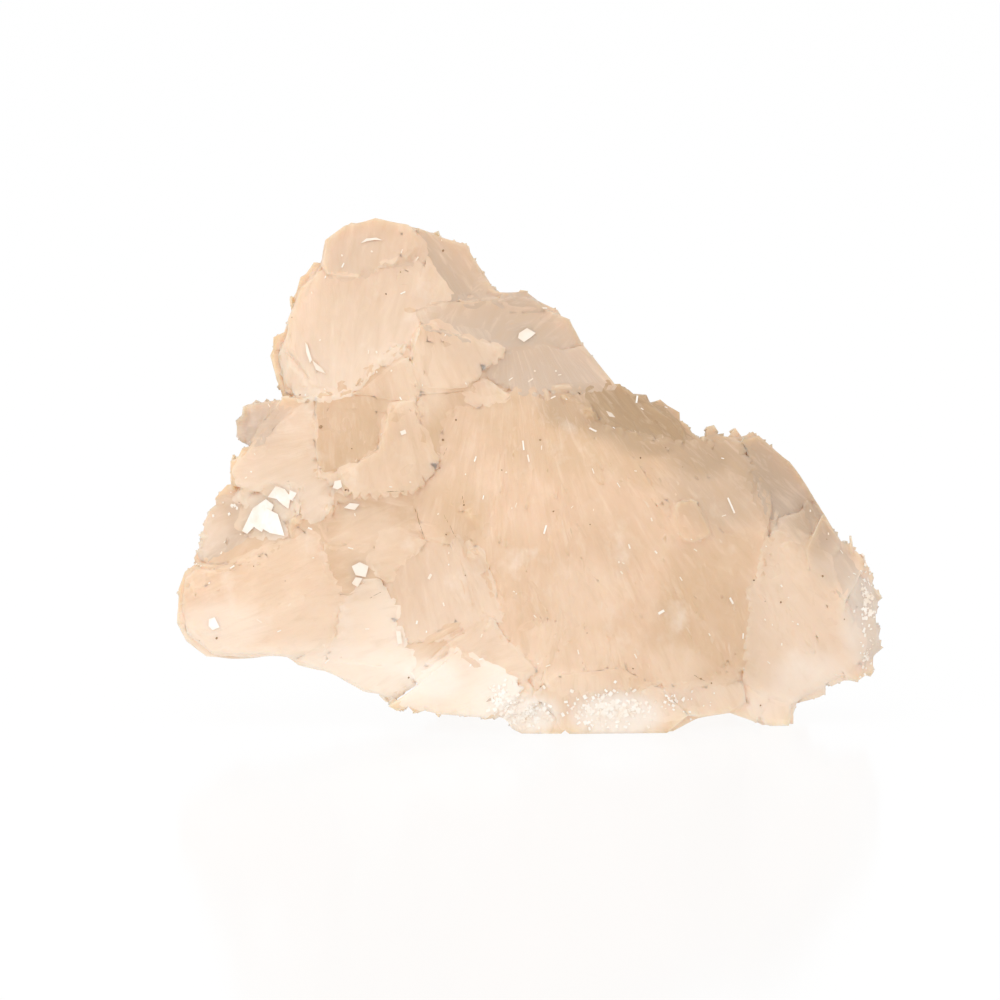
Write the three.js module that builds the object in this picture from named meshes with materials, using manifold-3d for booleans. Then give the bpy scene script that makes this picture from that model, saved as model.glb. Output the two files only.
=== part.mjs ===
// A calcite cluster: curved, saw-edged composite crystals grown together into one solid.
// Millimetres, +Z up, +X to the right of the display face, -Y towards the viewer of that face.
// Each crystal is a sheet: a curved or flat plate drawn on one side of the cluster, with saw teeth on
// its rim and a tapering foot inside the mass. The sheets lie on a surface of soft swellings.

import * as THREE from 'three';
import { mergeVertices } from 'three/addons/utils/BufferGeometryUtils.js';
import Module from 'manifold-3d';

// Driving dimensions.
const DISPLAY_TILT = THREE.MathUtils.degToRad(7); // both broad sides are drawn leaning back by this
const SHEET_THICKNESS = 8; // from a sheet's face to its foot
const FOOT_SHARE = 0.93; // size of a sheet's foot beside its face
const TOOTH_PITCH = 4.6; // mean width of a saw tooth on a sheet's rim
const TOOTH_DEPTH = 1.3; // how far a tooth stands out of its rim
const OVERLAP = 0.4; // how deep a dome starts inside the sheet it stands on
const DOME_RINGS = [0.96, 0.72, 0.38]; // sizes of a dome's rings beside its sheet
const DOME_LIP = 0.5; // how far a domed sheet's rim lies behind its dome
const DOME_PITCH = 8; // how far apart the points of those rings lie round the rim
const SWELL_BLEND = 4; // how softly two swellings run together
const HEART_COVER = 2; // how far under the swelling surfaces the blocks inside the mass lie
const LEAN_REACH = 5; // how far from its middle a flat sheet's lean is taken
const SHORT_EDGE = 0.45; // edges shorter than this are drawn together
const TOUCH_GAP = 0.04; // how far touching corners are drawn apart
const SAME_PLACE = 1e-4; // corners nearer than this are one
const SLIVER_AREA = 0.002; // a face with less than half this area in mm2 counts as a sliver
const STEEPEST_TURN = THREE.MathUtils.degToRad(25); // how far drawing together may turn a face
const WEATHERED_ROUGHNESS = 0.45;
const HONEY_PEACH = 0xf0d2b4;
const TOOTH_SEED = 20817;

// The swellings that shape the two broad sides: the middle of each, its reach across and up, its
// depth at that reach and how far its middle stands out. Least is the depth beyond them all.
const SWELLINGS = {
  front: {
    least: -4,
    swells: [
      { u: -31, v: 79, across: 24, up: 24, rim: -5, rise: 9 },
      { u: 2, v: 68, across: 30, up: 24, rim: -5, rise: 10 },
      { u: -36, v: 48, across: 32, up: 34, rim: -5, rise: 14 },
      { u: -40, v: 20, across: 38, up: 22, rim: -5, rise: 16 },
      { u: 14, v: 26, across: 44, up: 46, rim: -4, rise: 22 },
      { u: 46, v: 26, across: 30, up: 40, rim: -5, rise: 15 },
      { u: 4, v: 2, across: 44, up: 24, rim: 0, rise: 18 },
    ],
  },
  back: {
    least: 13,
    swells: [
      { u: 30, v: 74, across: 24, up: 26, rim: 10, rise: 8 },
      { u: 2, v: 60, across: 30, up: 24, rim: 10, rise: 9 },
      { u: 22, v: 40, across: 34, up: 30, rim: 10, rise: 14 },
      { u: -8, v: 22, across: 46, up: 36, rim: 12, rise: 16 },
      { u: 46, v: 22, across: 26, up: 20, rim: 11, rise: 7 },
      { u: -44, v: 28, across: 28, up: 34, rim: 11, rise: 8 },
      { u: -2, v: 0, across: 44, up: 24, rim: 14, rise: 12 },
    ],
  },
};

// A third value of PLAIN in an outline point: the edge from that point to the next has no teeth.
const PLAIN = 'plain';

// The drawing boards: u runs to the right, v runs up, out points at the viewer of that side.
const BOARDS = {
  front: board([1, 0, 0], [0, Math.sin(DISPLAY_TILT), Math.cos(DISPLAY_TILT)]),
  back: board([-1, 0, 0], [0, Math.sin(DISPLAY_TILT), Math.cos(DISPLAY_TILT)]),
  left: board([0, -1, 0], [0, 0, 1]),
  right: board([0, 1, 0], [0, 0, 1]),
  top: board([1, 0, 0], [0, 1, 0]),
  under: board([1, 0, 0], [0, -1, 0]),
};

function board(across, up) {
  const u = new THREE.Vector3(...across);
  const v = new THREE.Vector3(...up);
  const out = new THREE.Vector3().crossVectors(u, v);
  return new THREE.Matrix4().makeBasis(u, v, out);
}

// The rounded top left of the cluster.
function domeSheets() {
  return [
    {
      side: 'front', step: -3, domed: true,
      outline: [
        [-49, 64.5, PLAIN], [-50.5, 68], [-51, 74], [-49, 77.5], [-47, 80.5], [-46.5, 86],
        [-44.5, 89.5], [-41.5, 91.5, PLAIN], [-40.5, 96, PLAIN], [-37.5, 98], [-34, 99.5, PLAIN],
        [-30, 100.5, PLAIN], [-20.5, 98, PLAIN], [-14.5, 95.5], [-11.5, 93, PLAIN],
        [-10, 90, PLAIN], [-6, 85.5, PLAIN], [-5.5, 79, PLAIN], [-11.5, 70, PLAIN],
        [-25.5, 63, PLAIN], [-41.5, 62.5, PLAIN],
      ],
    },
    {
      side: 'front', step: -0.5, domed: true,
      outline: [
        [-48, 80.5, PLAIN], [-45.5, 87, PLAIN], [-41, 90.5], [-35.5, 89.5], [-28, 91.5, PLAIN],
        [-20.5, 89, PLAIN], [-17.5, 84.5], [-22, 81], [-24.5, 75], [-30, 71.5], [-33, 66],
        [-41, 65.5], [-45, 68.5], [-48.5, 73.5, PLAIN],
      ],
    },
    {
      side: 'front', step: -0.4,
      outline: [
        [-41, 91, PLAIN], [-40, 96, PLAIN], [-36.5, 98.5, PLAIN], [-30, 100, PLAIN],
        [-24.5, 99, PLAIN], [-22, 95], [-28.5, 91.5], [-36, 89],
      ],
    },
    {
      side: 'front', step: -0.6,
      outline: [
        [-24.5, 99, PLAIN], [-14.5, 95.5], [-11.5, 93, PLAIN], [-6, 85.5, PLAIN],
        [-11.5, 83], [-17.5, 84], [-21, 89.5], [-23, 95, PLAIN],
      ],
    },
  ];
}

// The greyer sheets that step down from the dome to the right, with the bright plate below them.
function upperRightSheets() {
  return [
    {
      side: 'front', step: -0.4,
      outline: [
        [-18, 83], [-6, 85.5, PLAIN], [-0.5, 86, PLAIN], [2, 84], [7, 80, PLAIN],
        [6.5, 74.5, PLAIN], [-1.5, 72, PLAIN], [-11.5, 74, PLAIN], [-17.5, 78, PLAIN],
      ],
    },
    {
      side: 'front', step: 0.4,
      outline: [
        [-22.5, 81], [-17.5, 83.5, PLAIN], [-5.5, 84], [1.5, 84, PLAIN], [4, 82, PLAIN],
        [7, 80, PLAIN], [10.5, 75.5, PLAIN], [17, 67, PLAIN], [12.5, 64.5, PLAIN],
        [-4.5, 64.5, PLAIN], [-11.5, 72, PLAIN], [-19.5, 77, PLAIN],
      ],
    },
    {
      side: 'front', step: 0.8,
      outline: [
        [-8.5, 71], [-4.5, 73.5], [6.5, 73.5], [12, 73.5, PLAIN], [17, 67, PLAIN],
        [9.5, 65.5, PLAIN], [2.5, 65], [-4.5, 64], [-9.5, 66.5, PLAIN],
      ],
    },
    {
      side: 'front', step: 2.4,
      outline: [
        [-23, 76.5, PLAIN], [-21.5, 79, PLAIN], [-12.5, 76.5, PLAIN], [-4.5, 73.5], [-8.5, 72],
        [-10, 69.5], [-12, 68], [-12.5, 66, PLAIN], [-23, 65, PLAIN],
      ],
    },
    {
      side: 'front', step: 1.8,
      outline: [
        [-23.5, 66.5, PLAIN], [-17.5, 67, PLAIN], [-8, 67, PLAIN], [-4, 64.5], [-8, 63.5],
        [-11.5, 61.5], [-15, 61, PLAIN], [-21.5, 63, PLAIN],
      ],
    },
  ];
}

// The spear-pointed blades in the middle left.
function bladeSheets() {
  return [
    {
      side: 'front', step: 1.2,
      outline: [
        [-24, 67, PLAIN], [-19.5, 65.5, PLAIN], [-16, 63], [-15, 60], [-16.5, 55.5], [-17, 50],
        [-20, 48.5, PLAIN], [-25, 56, PLAIN], [-25.5, 63, PLAIN],
      ],
    },
    {
      side: 'front', step: 1.8,
      outline: [
        [-27, 61.5], [-23, 63.5], [-20.5, 56.5], [-17.5, 52], [-21, 48.5], [-23, 46],
        [-35, 45.5], [-37, 47.5, PLAIN], [-34, 51, PLAIN], [-28.5, 54.5],
      ],
    },
    {
      side: 'front', step: 0.6,
      outline: [
        [-42, 64.5], [-34, 64.5], [-30, 71], [-25, 75], [-23, 72.5], [-23, 67], [-25, 63],
        [-25, 56], [-28, 53], [-35, 50], [-38, 47], [-41.5, 50, PLAIN], [-42, 58, PLAIN],
      ],
    },
    {
      side: 'front', step: 1,
      outline: [
        [-47.5, 40, PLAIN], [-36, 44, PLAIN], [-35, 46, PLAIN], [-23, 46], [-20, 36], [-25, 33],
        [-28, 29], [-33, 27], [-38, 25], [-40.5, 32], [-43.5, 37, PLAIN],
      ],
    },
    {
      side: 'front', step: 0.6,
      outline: [
        [-23.5, 46], [-17, 50], [-16, 56], [-14, 62], [-9, 63, PLAIN], [-7.5, 50, PLAIN],
        [-8, 32, PLAIN], [-14, 36], [-20.5, 36],
      ],
    },
  ];
}

// The left side: small crystals up the edge and the long pale wing that hangs clear of the floor.
function leftSheets() {
  return [
    {
      side: 'front', step: 0,
      outline: [
        [-48.5, 64.5, PLAIN], [-42, 64, PLAIN], [-41.5, 50, PLAIN], [-39, 47], [-38, 42.5],
        [-40, 40.5], [-45.5, 43], [-53, 45.5, PLAIN], [-58.5, 47, PLAIN], [-59, 48.5],
        [-57.5, 52.5], [-55, 55], [-52, 60, PLAIN],
      ],
    },
    {
      side: 'front', step: -2,
      outline: [
        [-45.5, 62, PLAIN], [-49.5, 56, PLAIN], [-55, 55, PLAIN], [-57, 56], [-58, 58.5, PLAIN],
        [-57, 61], [-55, 61.5, PLAIN], [-55.5, 63.5, PLAIN], [-48.5, 64, PLAIN],
      ],
    },
    {
      side: 'front', step: -0.6,
      outline: [
        [-58, 47.5], [-61.5, 45.5], [-62, 43], [-64.5, 40.5], [-64, 38], [-65.5, 35],
        [-66, 29, PLAIN], [-57.5, 29, PLAIN], [-48.5, 34], [-45.5, 42.5, PLAIN], [-47.5, 46.5],
      ],
    },
    {
      side: 'front', step: 0.6, domed: true,
      outline: [
        [-66, 31.5, PLAIN], [-68.5, 29.5, PLAIN], [-70, 26, PLAIN], [-70, 19.5, PLAIN],
        [-68, 16, PLAIN], [-64, 13, PLAIN], [-59, 12.5, PLAIN], [-48, 13, PLAIN],
        [-45.5, 11, PLAIN], [-39.5, 9.5, PLAIN], [-33, 6, PLAIN], [-28.5, 5], [-27.5, 3.5, PLAIN],
        [-22, 7], [-23, 11.5], [-25, 17], [-27, 21.5], [-28.5, 25], [-32, 27], [-38, 26.5],
        [-43, 37], [-53, 34, PLAIN], [-60, 31, PLAIN],
      ],
    },
    {
      side: 'front', step: 1.5, domed: true,
      outline: [
        [-68.5, 28, PLAIN], [-66, 30.5, PLAIN], [-62.5, 29.5, PLAIN], [-53, 34], [-45.5, 36.5, PLAIN],
        [-43, 37], [-40.5, 31], [-37.5, 24.5], [-38, 16.5], [-42, 10.5, PLAIN], [-50, 13.5, PLAIN],
        [-61, 13, PLAIN], [-67.5, 18, PLAIN],
      ],
    },
  ];
}

// The striated mass that fills the middle and right of the display face, and the ridge behind it.
function frontMassSheets() {
  return [
    {
      side: 'front', step: 1.6, domed: true,
      outline: [
        [-14.5, 62], [-9, 63.5], [-3, 65], [4, 65, PLAIN], [11, 62, PLAIN], [17, 57], [22.5, 52],
        [26, 45, PLAIN], [34.5, 39, PLAIN], [48, 35], [47.5, 29], [45, 26.5], [45, 19.5], [43, 14],
        [42.5, 10.5], [37.5, 7.5], [31.5, 6, PLAIN], [14.5, 4, PLAIN], [1.5, 6, PLAIN],
        [-3.5, 14], [-6.5, 21.5], [-8.5, 33.5, PLAIN], [-14, 36], [-16.5, 48], [-16, 56],
      ],
    },
    {
      side: 'front', step: 0.8, domed: true,
      outline: [
        [16.5, 57.5, PLAIN], [22.5, 56, PLAIN], [31.5, 56.5], [35, 55.5, PLAIN],
        [36.5, 58.5, PLAIN], [40, 56, PLAIN], [42, 58.5, PLAIN], [43.5, 56.5], [46.5, 57, PLAIN],
        [48, 50, PLAIN], [50, 40, PLAIN], [48, 34.5], [34.5, 37, PLAIN], [26, 43.5, PLAIN],
      ],
    },
    {
      side: 'front', step: 2.4,
      outline: [[30, 43.5, PLAIN], [33.5, 43.5, PLAIN], [36.5, 37, PLAIN], [33, 35.5], [30, 37.5]],
    },
    {
      side: 'front', step: 2.2,
      outline: [
        [-14, 61, PLAIN], [-9.5, 62, PLAIN], [-4, 60], [-5, 54], [-8, 47], [-12, 40, PLAIN],
        [-16, 46], [-15.5, 55],
      ],
    },
    {
      side: 'front', step: 0.8,
      outline: [
        [6.5, 64.5, PLAIN], [12.5, 66.5, PLAIN], [17, 67], [24.5, 63.5], [28, 63], [30.5, 60],
        [33, 56.5, PLAIN], [32.5, 54, PLAIN], [24.5, 55], [17.5, 57], [11.5, 61.5, PLAIN],
      ],
    },
  ];
}

// The right wing, its frosted outer rim and the small foot under it.
function rightSheets() {
  return [
    {
      side: 'front', step: -0.6,
      outline: [
        [43.5, 56, PLAIN], [46.5, 57, PLAIN], [51, 53, PLAIN], [55, 48, PLAIN], [59.5, 41, PLAIN],
        [63, 35.5], [68, 31.5, PLAIN], [63.5, 24, PLAIN], [54.5, 32, PLAIN], [50, 38, PLAIN],
        [47.5, 44, PLAIN],
      ],
    },
    {
      side: 'front', step: 1.2, domed: true,
      outline: [
        [48, 35], [50, 38, PLAIN], [55, 36], [59.5, 31.5, PLAIN], [62.5, 25], [65, 19, PLAIN],
        [67, 14, PLAIN], [64.5, 8.5], [59.5, 7.5], [58.5, 4.5, PLAIN], [53, 3], [52.5, -2.5, PLAIN],
        [48.5, -2.5, PLAIN], [46, -0.5], [43, 5, PLAIN], [42.5, 10.5, PLAIN], [43, 16, PLAIN],
        [45, 26, PLAIN],
      ],
    },
    {
      side: 'front', step: 0,
      outline: [
        [59, 41.5, PLAIN], [62.5, 36], [68, 31.5], [69, 27], [70, 23.5], [68, 20.5], [70, 17],
        [69, 13], [67.5, 9], [64, 8, PLAIN], [60, 16, PLAIN], [57.5, 26, PLAIN], [56, 34, PLAIN],
      ],
    },
    {
      side: 'front', step: 0.6,
      outline: [
        [22.5, 6, PLAIN], [31.5, 10, PLAIN], [42.5, 10.5, PLAIN], [46, -0.5, PLAIN],
        [40.5, 1.5, PLAIN], [34, 0.5, PLAIN], [26, -3.6, PLAIN],
      ],
    },
  ];
}

// The low crystals along the front edge, some of them resting on the floor.
function frontEdgeSheets() {
  return [
    {
      side: 'front', step: 0.6, domed: true,
      outline: [
        [-28.5, 25], [-27.5, 29, PLAIN], [-25, 33], [-20.5, 35.5], [-14, 36], [-9, 34, PLAIN],
        [-7, 29.5, PLAIN], [-6, 19.5], [-13, 18], [-17.5, 15.5, PLAIN], [-22.5, 16], [-26, 20.5],
      ],
    },
    {
      side: 'front', step: 0.4,
      outline: [
        [-24.5, 16, PLAIN], [-17.5, 16, PLAIN], [-13, 18], [-7, 20, PLAIN], [-3.5, 14, PLAIN],
        [-0.5, 9], [1, 5.5], [-5.5, 4, PLAIN], [-19.5, 6, PLAIN], [-22.5, 8],
      ],
    },
    {
      side: 'front', step: 1,
      outline: [[-7, 20, PLAIN], [-1, 15.5], [3.5, 9.5], [1, 5.5], [-3, 10.5]],
    },
    {
      side: 'front', step: 1.2,
      outline: [
        [-28, 3, PLAIN], [-23, 6, PLAIN], [-13.5, 14, PLAIN], [-9, 12], [-5, 8.5], [-1, 6],
        [1, 2.5, PLAIN], [-5.5, 1], [-19.5, 2.5],
      ],
    },
    {
      side: 'front', step: 1.4,
      outline: [
        [-6, 4], [1, 5.5, PLAIN], [6, 1, PLAIN], [5, -2.5, PLAIN], [0, -3, PLAIN], [-3, -1.5, PLAIN],
      ],
    },
    {
      side: 'front', step: 1.2,
      outline: [
        [1.5, 5.5, PLAIN], [6.5, 9, PLAIN], [18.5, 10.5, PLAIN], [27, 6, PLAIN], [32, 1, PLAIN],
        [26, -3.8, PLAIN], [14, -4.2, PLAIN], [9.5, -3.5], [6, 1, PLAIN],
      ],
    },
  ];
}

// The far side of the cluster, drawn from behind.
function backSheets() {
  return [
    {
      side: 'back', step: 1, domed: true,
      outline: [
        [8, 78, PLAIN], [13, 86], [22, 92, PLAIN], [33, 91, PLAIN], [44, 84], [48, 74], [45, 65],
        [36, 60, PLAIN], [26, 63], [15, 68],
      ],
    },
    {
      side: 'back', step: 1.6,
      outline: [
        [8, 66, PLAIN], [24, 64], [38, 59], [46, 51, PLAIN], [34, 46], [22, 49], [12, 54, PLAIN],
      ],
    },
    {
      side: 'back', step: 0.4, domed: true,
      outline: [
        [-14, 60, PLAIN], [-9, 68], [-1, 75, PLAIN], [8, 79, PLAIN], [16, 74], [13, 64], [4, 57],
        [-6, 55, PLAIN],
      ],
    },
    {
      side: 'back', step: 1.2, domed: true,
      outline: [
        [-33, 43, PLAIN], [-24, 50], [-10, 56, PLAIN], [4, 58], [12, 50], [16, 38], [8, 28, PLAIN],
        [-12, 25, PLAIN], [-28, 32],
      ],
    },
    {
      side: 'back', step: 2, domed: true,
      outline: [
        [-33, 20, PLAIN], [-28, 31], [-10, 36, PLAIN], [8, 34], [20, 27], [22, 14], [13, 4],
        [10, -3, PLAIN], [-20, -3, PLAIN], [-27, 8],
      ],
    },
    {
      side: 'back', step: 0.6, domed: true,
      outline: [
        [-63, 14, PLAIN], [-62, 28], [-54, 39, PLAIN], [-42, 45, PLAIN], [-33, 42], [-29, 30],
        [-34, 16], [-45, 8, PLAIN], [-56, 8, PLAIN],
      ],
    },
    {
      side: 'back', step: 0,
      outline: [
        [-46, 44, PLAIN], [-42, 51], [-33, 52], [-24, 57, PLAIN], [-14, 58, PLAIN], [-20, 48],
        [-32, 42, PLAIN],
      ],
    },
    {
      side: 'back', step: 0.6, domed: true,
      outline: [
        [16, 52, PLAIN], [26, 50], [40, 54, PLAIN], [50, 53], [54, 46], [50, 36, PLAIN], [36, 31],
        [22, 33], [14, 42],
      ],
    },
    {
      side: 'back', step: 0.8, domed: true,
      outline: [
        [24, 28, PLAIN], [40, 33], [55, 36, PLAIN], [63, 31], [67, 22, PLAIN], [62, 16], [47, 15],
        [36, 11, PLAIN], [26, 13],
      ],
    },
    {
      side: 'back', step: 1.6,
      outline: [[14, 24], [26, 31], [36, 27], [37, 17, PLAIN], [28, 9, PLAIN], [18, 10]],
    },
    {
      side: 'back', step: 0.8,
      outline: [[-44, 10], [-34, 18], [-24, 14], [-22, 4, PLAIN], [-32, 2, PLAIN], [-42, 4, PLAIN]],
    },
  ];
}

// Sheets that face the ends, the top and the floor.
function edgeSheets() {
  return [
    {
      side: 'left', depth: 45, lean: [0, -0.1],
      outline: [[-23, 68], [-22, 80], [-18, 87, PLAIN], [-12, 86], [-8, 74], [-10, 67, PLAIN]],
    },
    {
      side: 'left', depth: 53, lean: [0.1, -0.3],
      outline: [[-17, 40], [-17, 50], [-11, 57, PLAIN], [-4, 53], [-3, 43, PLAIN], [-8, 36, PLAIN]],
    },
    {
      side: 'left', depth: 66, lean: [0.1, 0],
      outline: [[-8, 18], [-8, 27], [-4, 30, PLAIN], [0, 27, PLAIN], [1, 18, PLAIN], [-4, 15, PLAIN]],
    },
    {
      side: 'right', depth: 65, lean: [-0.2, -0.3],
      outline: [[3, 12], [3, 24], [7, 31, PLAIN], [12, 28], [13, 16, PLAIN], [10, 8, PLAIN]],
    },
    {
      side: 'right', depth: 48, lean: [-0.3, -0.6],
      outline: [[6, 36], [6, 46, PLAIN], [12, 50], [17, 42], [16, 32, PLAIN], [10, 30, PLAIN]],
    },
    {
      side: 'right', depth: 4, lean: [-0.3, -0.7],
      outline: [[12, 66], [13, 76, PLAIN], [18, 79], [22, 71], [20, 61, PLAIN]],
    },
    {
      side: 'top', depth: 91.5, lean: [0.05, -0.2],
      outline: [[-40, 14], [-32, 20, PLAIN], [-20, 20], [-14, 15, PLAIN], [-34, 12, PLAIN]],
    },
    {
      side: 'top', depth: 56.5, lean: [-0.15, -0.2],
      outline: [[2, 7], [8, 15, PLAIN], [20, 18], [34, 16], [40, 10, PLAIN], [16, 4, PLAIN]],
    },
    {
      side: 'under', depth: -5, lean: [0.08, 0],
      outline: [[-20, -10, PLAIN], [-22, 2], [-12, 13, PLAIN], [8, 15, PLAIN], [20, 4], [4, -14, PLAIN]],
    },
    {
      side: 'under', depth: -7, lean: [-0.15, 0],
      outline: [[24, -12, PLAIN], [22, 4, PLAIN], [36, 12], [50, 4], [42, -14, PLAIN]],
    },
    {
      side: 'under', depth: -14, lean: [0.1, 0],
      outline: [[-58, -6, PLAIN], [-56, 0], [-30, 3, PLAIN], [-24, -6, PLAIN], [-38, -9, PLAIN]],
    },
  ];
}

// Domed blocks inside the mass, so that every sheet grows out of solid calcite and no gap between
// two sheets is deep.
function heartBlocks() {
  return [
    { outline: [[-46, 64], [-48, 75], [-43, 86], [-37, 94], [-29, 96], [-14, 91], [-8, 84], [-6, 66]] },
    { outline: [[-24, 60], [-20, 80], [4, 81], [14, 68], [22, 60], [0, 56]] },
    { outline: [[-54, 54], [-50, 62], [-30, 68], [-10, 66], [-8, 40], [-24, 30], [-60, 36]] },
    { outline: [[-64, 42], [-66, 20], [-60, 16], [-30, 9], [-24, 8], [-20, 26], [-30, 46]] },
    { outline: [[-14, 34], [-12, 60], [10, 61], [28, 53], [44, 38], [44, 12], [24, 6], [-4, 8]] },
    { outline: [[28, 53], [44, 54], [55, 44], [62, 34], [62, 14], [52, 8], [38, 8], [30, 20]] },
    { outline: [[-22, 7], [-24, 24], [-6, 28], [10, 12], [42, 10], [44, 4], [28, 0], [6, 1]] },
  ];
}

function seededRandom(seed) {
  let state = seed;
  return () => {
    state = (state * 1664525 + 1013904223) % 4294967296;
    return state / 4294967296;
  };
}

// Breaks the marked edges of an outline into saw teeth, each with a long slope and a short one.
function toothedOutline(outline, pitch, random) {
  const points = [];
  for (let i = 0; i < outline.length; i += 1) {
    const [startU, startV, edge] = outline[i];
    const start = new THREE.Vector2(startU, startV);
    const end = new THREE.Vector2(...outline[(i + 1) % outline.length].slice(0, 2));
    points.push(start);
    if (edge === PLAIN) {
      continue;
    }
    const along = end.clone().sub(start);
    const outward = new THREE.Vector2(along.y, -along.x).normalize();
    const count = Math.max(1, Math.round(along.length() / pitch));
    for (let tooth = 0; tooth < count; tooth += 1) {
      const place = (tooth + 0.2 + 0.3 * random()) / count;
      const height = TOOTH_DEPTH * (0.4 + 0.6 * random());
      points.push(start.clone().addScaledVector(along, place).addScaledVector(outward, height));
      if (tooth < count - 1) {
        points.push(start.clone().addScaledVector(along, (tooth + 1) / count));
      }
    }
  }
  return points;
}

function anticlockwise(outline) {
  if (THREE.ShapeUtils.area(flatPoints(outline)) > 0) {
    return outline;
  }
  // Turned round, an edge starts at its other end, so its mark moves back by one point.
  const turned = [...outline].reverse();
  return turned.map(([u, v], i) => [u, v, turned[(i + 1) % turned.length][2]]);
}

function flatPoints(outline) {
  return outline.map(([u, v]) => new THREE.Vector2(u, v));
}

// The points of an outline's rim at an even pitch.
function spacedPoints(outline) {
  const shape = new THREE.Shape(flatPoints(outline)).closePath();
  const count = Math.round(shape.getLength() / DOME_PITCH);
  return shape.getSpacedPoints(count).slice(0, count);
}

function middleOf(outline) {
  const sum = flatPoints(outline).reduce((total, point) => total.add(point));
  return sum.divideScalar(outline.length);
}

// The depth of a broad side's swelling surface at a place of its board.
function swellDepth(side, u, v) {
  const { least, swells } = SWELLINGS[side];
  const total = swells.reduce((sum, swell) => {
    const away = ((u - swell.u) / swell.across) ** 2 + ((v - swell.v) / swell.up) ** 2;
    const depth = swell.rim + swell.rise * (1 - away ** 1.5);
    return sum + Math.exp(depth / SWELL_BLEND);
  }, Math.exp(least / SWELL_BLEND));
  return SWELL_BLEND * Math.log(total);
}

// Where a sheet's face lies: a stated leaning plane, or a step over the swelling surface, which a
// domed sheet follows and a flat one touches under its middle.
function faceOf(sheet) {
  const { x, y } = middleOf(sheet.outline);
  const plane = (depth, lean) => (u, v) => depth + lean[0] * (u - x) + lean[1] * (v - y);
  if (sheet.depth !== undefined) {
    return plane(sheet.depth, sheet.lean);
  }
  const surface = (u, v) => swellDepth(sheet.side, u, v);
  if (sheet.domed) {
    return (u, v) => surface(u, v) + sheet.step;
  }
  const lean = [
    (surface(x + LEAN_REACH, y) - surface(x - LEAN_REACH, y)) / (2 * LEAN_REACH),
    (surface(x, y + LEAN_REACH) - surface(x, y - LEAN_REACH)) / (2 * LEAN_REACH),
  ];
  return plane(surface(x, y) + sheet.step, lean);
}

// A solid between copies of a closed rim at several levels: an extrusion in whole steps, whose
// every step is then moved to its level. A level is a share of the rim's size and its depth.
function levelledGeometry(side, middle, rim, levels) {
  const steps = levels.length - 1;
  const shape = new THREE.Shape(rim);
  const geometry = new THREE.ExtrudeGeometry(shape, { depth: steps, steps, bevelEnabled: false });
  const position = geometry.attributes.position;
  for (let i = 0; i < position.count; i += 1) {
    const { share, depth } = levels[Math.round(position.getZ(i))];
    const u = middle.x + (position.getX(i) - middle.x) * share;
    const v = middle.y + (position.getY(i) - middle.y) * share;
    position.setXYZ(i, u, v, depth(u, v));
  }
  return geometry.applyMatrix4(BOARDS[side]);
}

// A sheet's closed geometries: its saw-edged plate, and the dome on it if it has one.
function sheetGeometries(sheet, random) {
  const outline = anticlockwise(sheet.outline);
  const middle = middleOf(outline);
  const face = faceOf(sheet);
  const below = (height) => (u, v) => face(u, v) - height;
  const rim = toothedOutline(outline, TOOTH_PITCH, random);
  const lip = sheet.domed ? DOME_LIP : 0;
  const plate = levelledGeometry(sheet.side, middle, rim, [
    { share: FOOT_SHARE, depth: below(SHEET_THICKNESS) },
    { share: 1, depth: below(lip) },
  ]);
  if (!sheet.domed) {
    return [plate];
  }
  return [plate, levelledGeometry(sheet.side, middle, spacedPoints(outline), [
    { share: DOME_RINGS[0], depth: below(lip + OVERLAP) },
    ...DOME_RINGS.map((share) => ({ share, depth: face })),
  ])];
}

// A block that fills the mass from under one broad side's surface to under the other's.
function blockGeometry(block) {
  const outline = anticlockwise(block.outline);
  const front = (u, v) => swellDepth('front', u, v) - HEART_COVER;
  const back = (u, v) => HEART_COVER - swellDepth('back', -u, v);
  const inner = DOME_RINGS.slice(1);
  return levelledGeometry('front', middleOf(outline), spacedPoints(outline), [
    ...inner.map((share) => ({ share, depth: back })).reverse(),
    { share: 1, depth: back },
    { share: 1, depth: front },
    ...inner.map((share) => ({ share, depth: front })),
  ]);
}

// A block below the floor line, which trims the feet flat.
function floorBlock() {
  const size = 400;
  return new THREE.BoxGeometry(size, size, size).translate(0, 0, -size / 2);
}

function solidOf(wasm, geometry) {
  geometry.deleteAttribute('normal');
  geometry.deleteAttribute('uv');
  const merged = mergeVertices(geometry, SAME_PLACE);
  return new wasm.Manifold(new wasm.Mesh({
    numProp: 3,
    vertProperties: new Float32Array(merged.attributes.position.array),
    triVerts: new Uint32Array(merged.index.array),
  }));
}

// Where sheets only graze each other, the join leaves crumbs and pinholes that share no corner
// with the one real solid. This keeps the faces of the piece that the most of them belong to.
function largestPiece(faces, cornerCount) {
  const leaders = Array.from({ length: cornerCount }, (_, corner) => corner);
  const leaderOf = (corner) => {
    let leader = corner;
    while (leaders[leader] !== leader) {
      leader = leaders[leader];
    }
    leaders[corner] = leader;
    return leader;
  };
  for (const [a, b, c] of faces) {
    leaders[leaderOf(b)] = leaderOf(a);
    leaders[leaderOf(c)] = leaderOf(a);
  }
  const sizes = new Map();
  for (const [corner] of faces) {
    sizes.set(leaderOf(corner), (sizes.get(leaderOf(corner)) ?? 0) + 1);
  }
  const [largest] = [...sizes.entries()].reduce((best, entry) => (entry[1] > best[1] ? entry : best));
  return faces.filter(([corner]) => leaderOf(corner) === largest);
}

// Twice the area of a face, along its outward direction, once a corner has moved onto another.
function facing(corners, face, moved, onto) {
  const [a, b, c] = face.map((corner) => corners[corner === moved ? onto : corner]);
  return b.clone().sub(a).cross(c.clone().sub(a));
}

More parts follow.
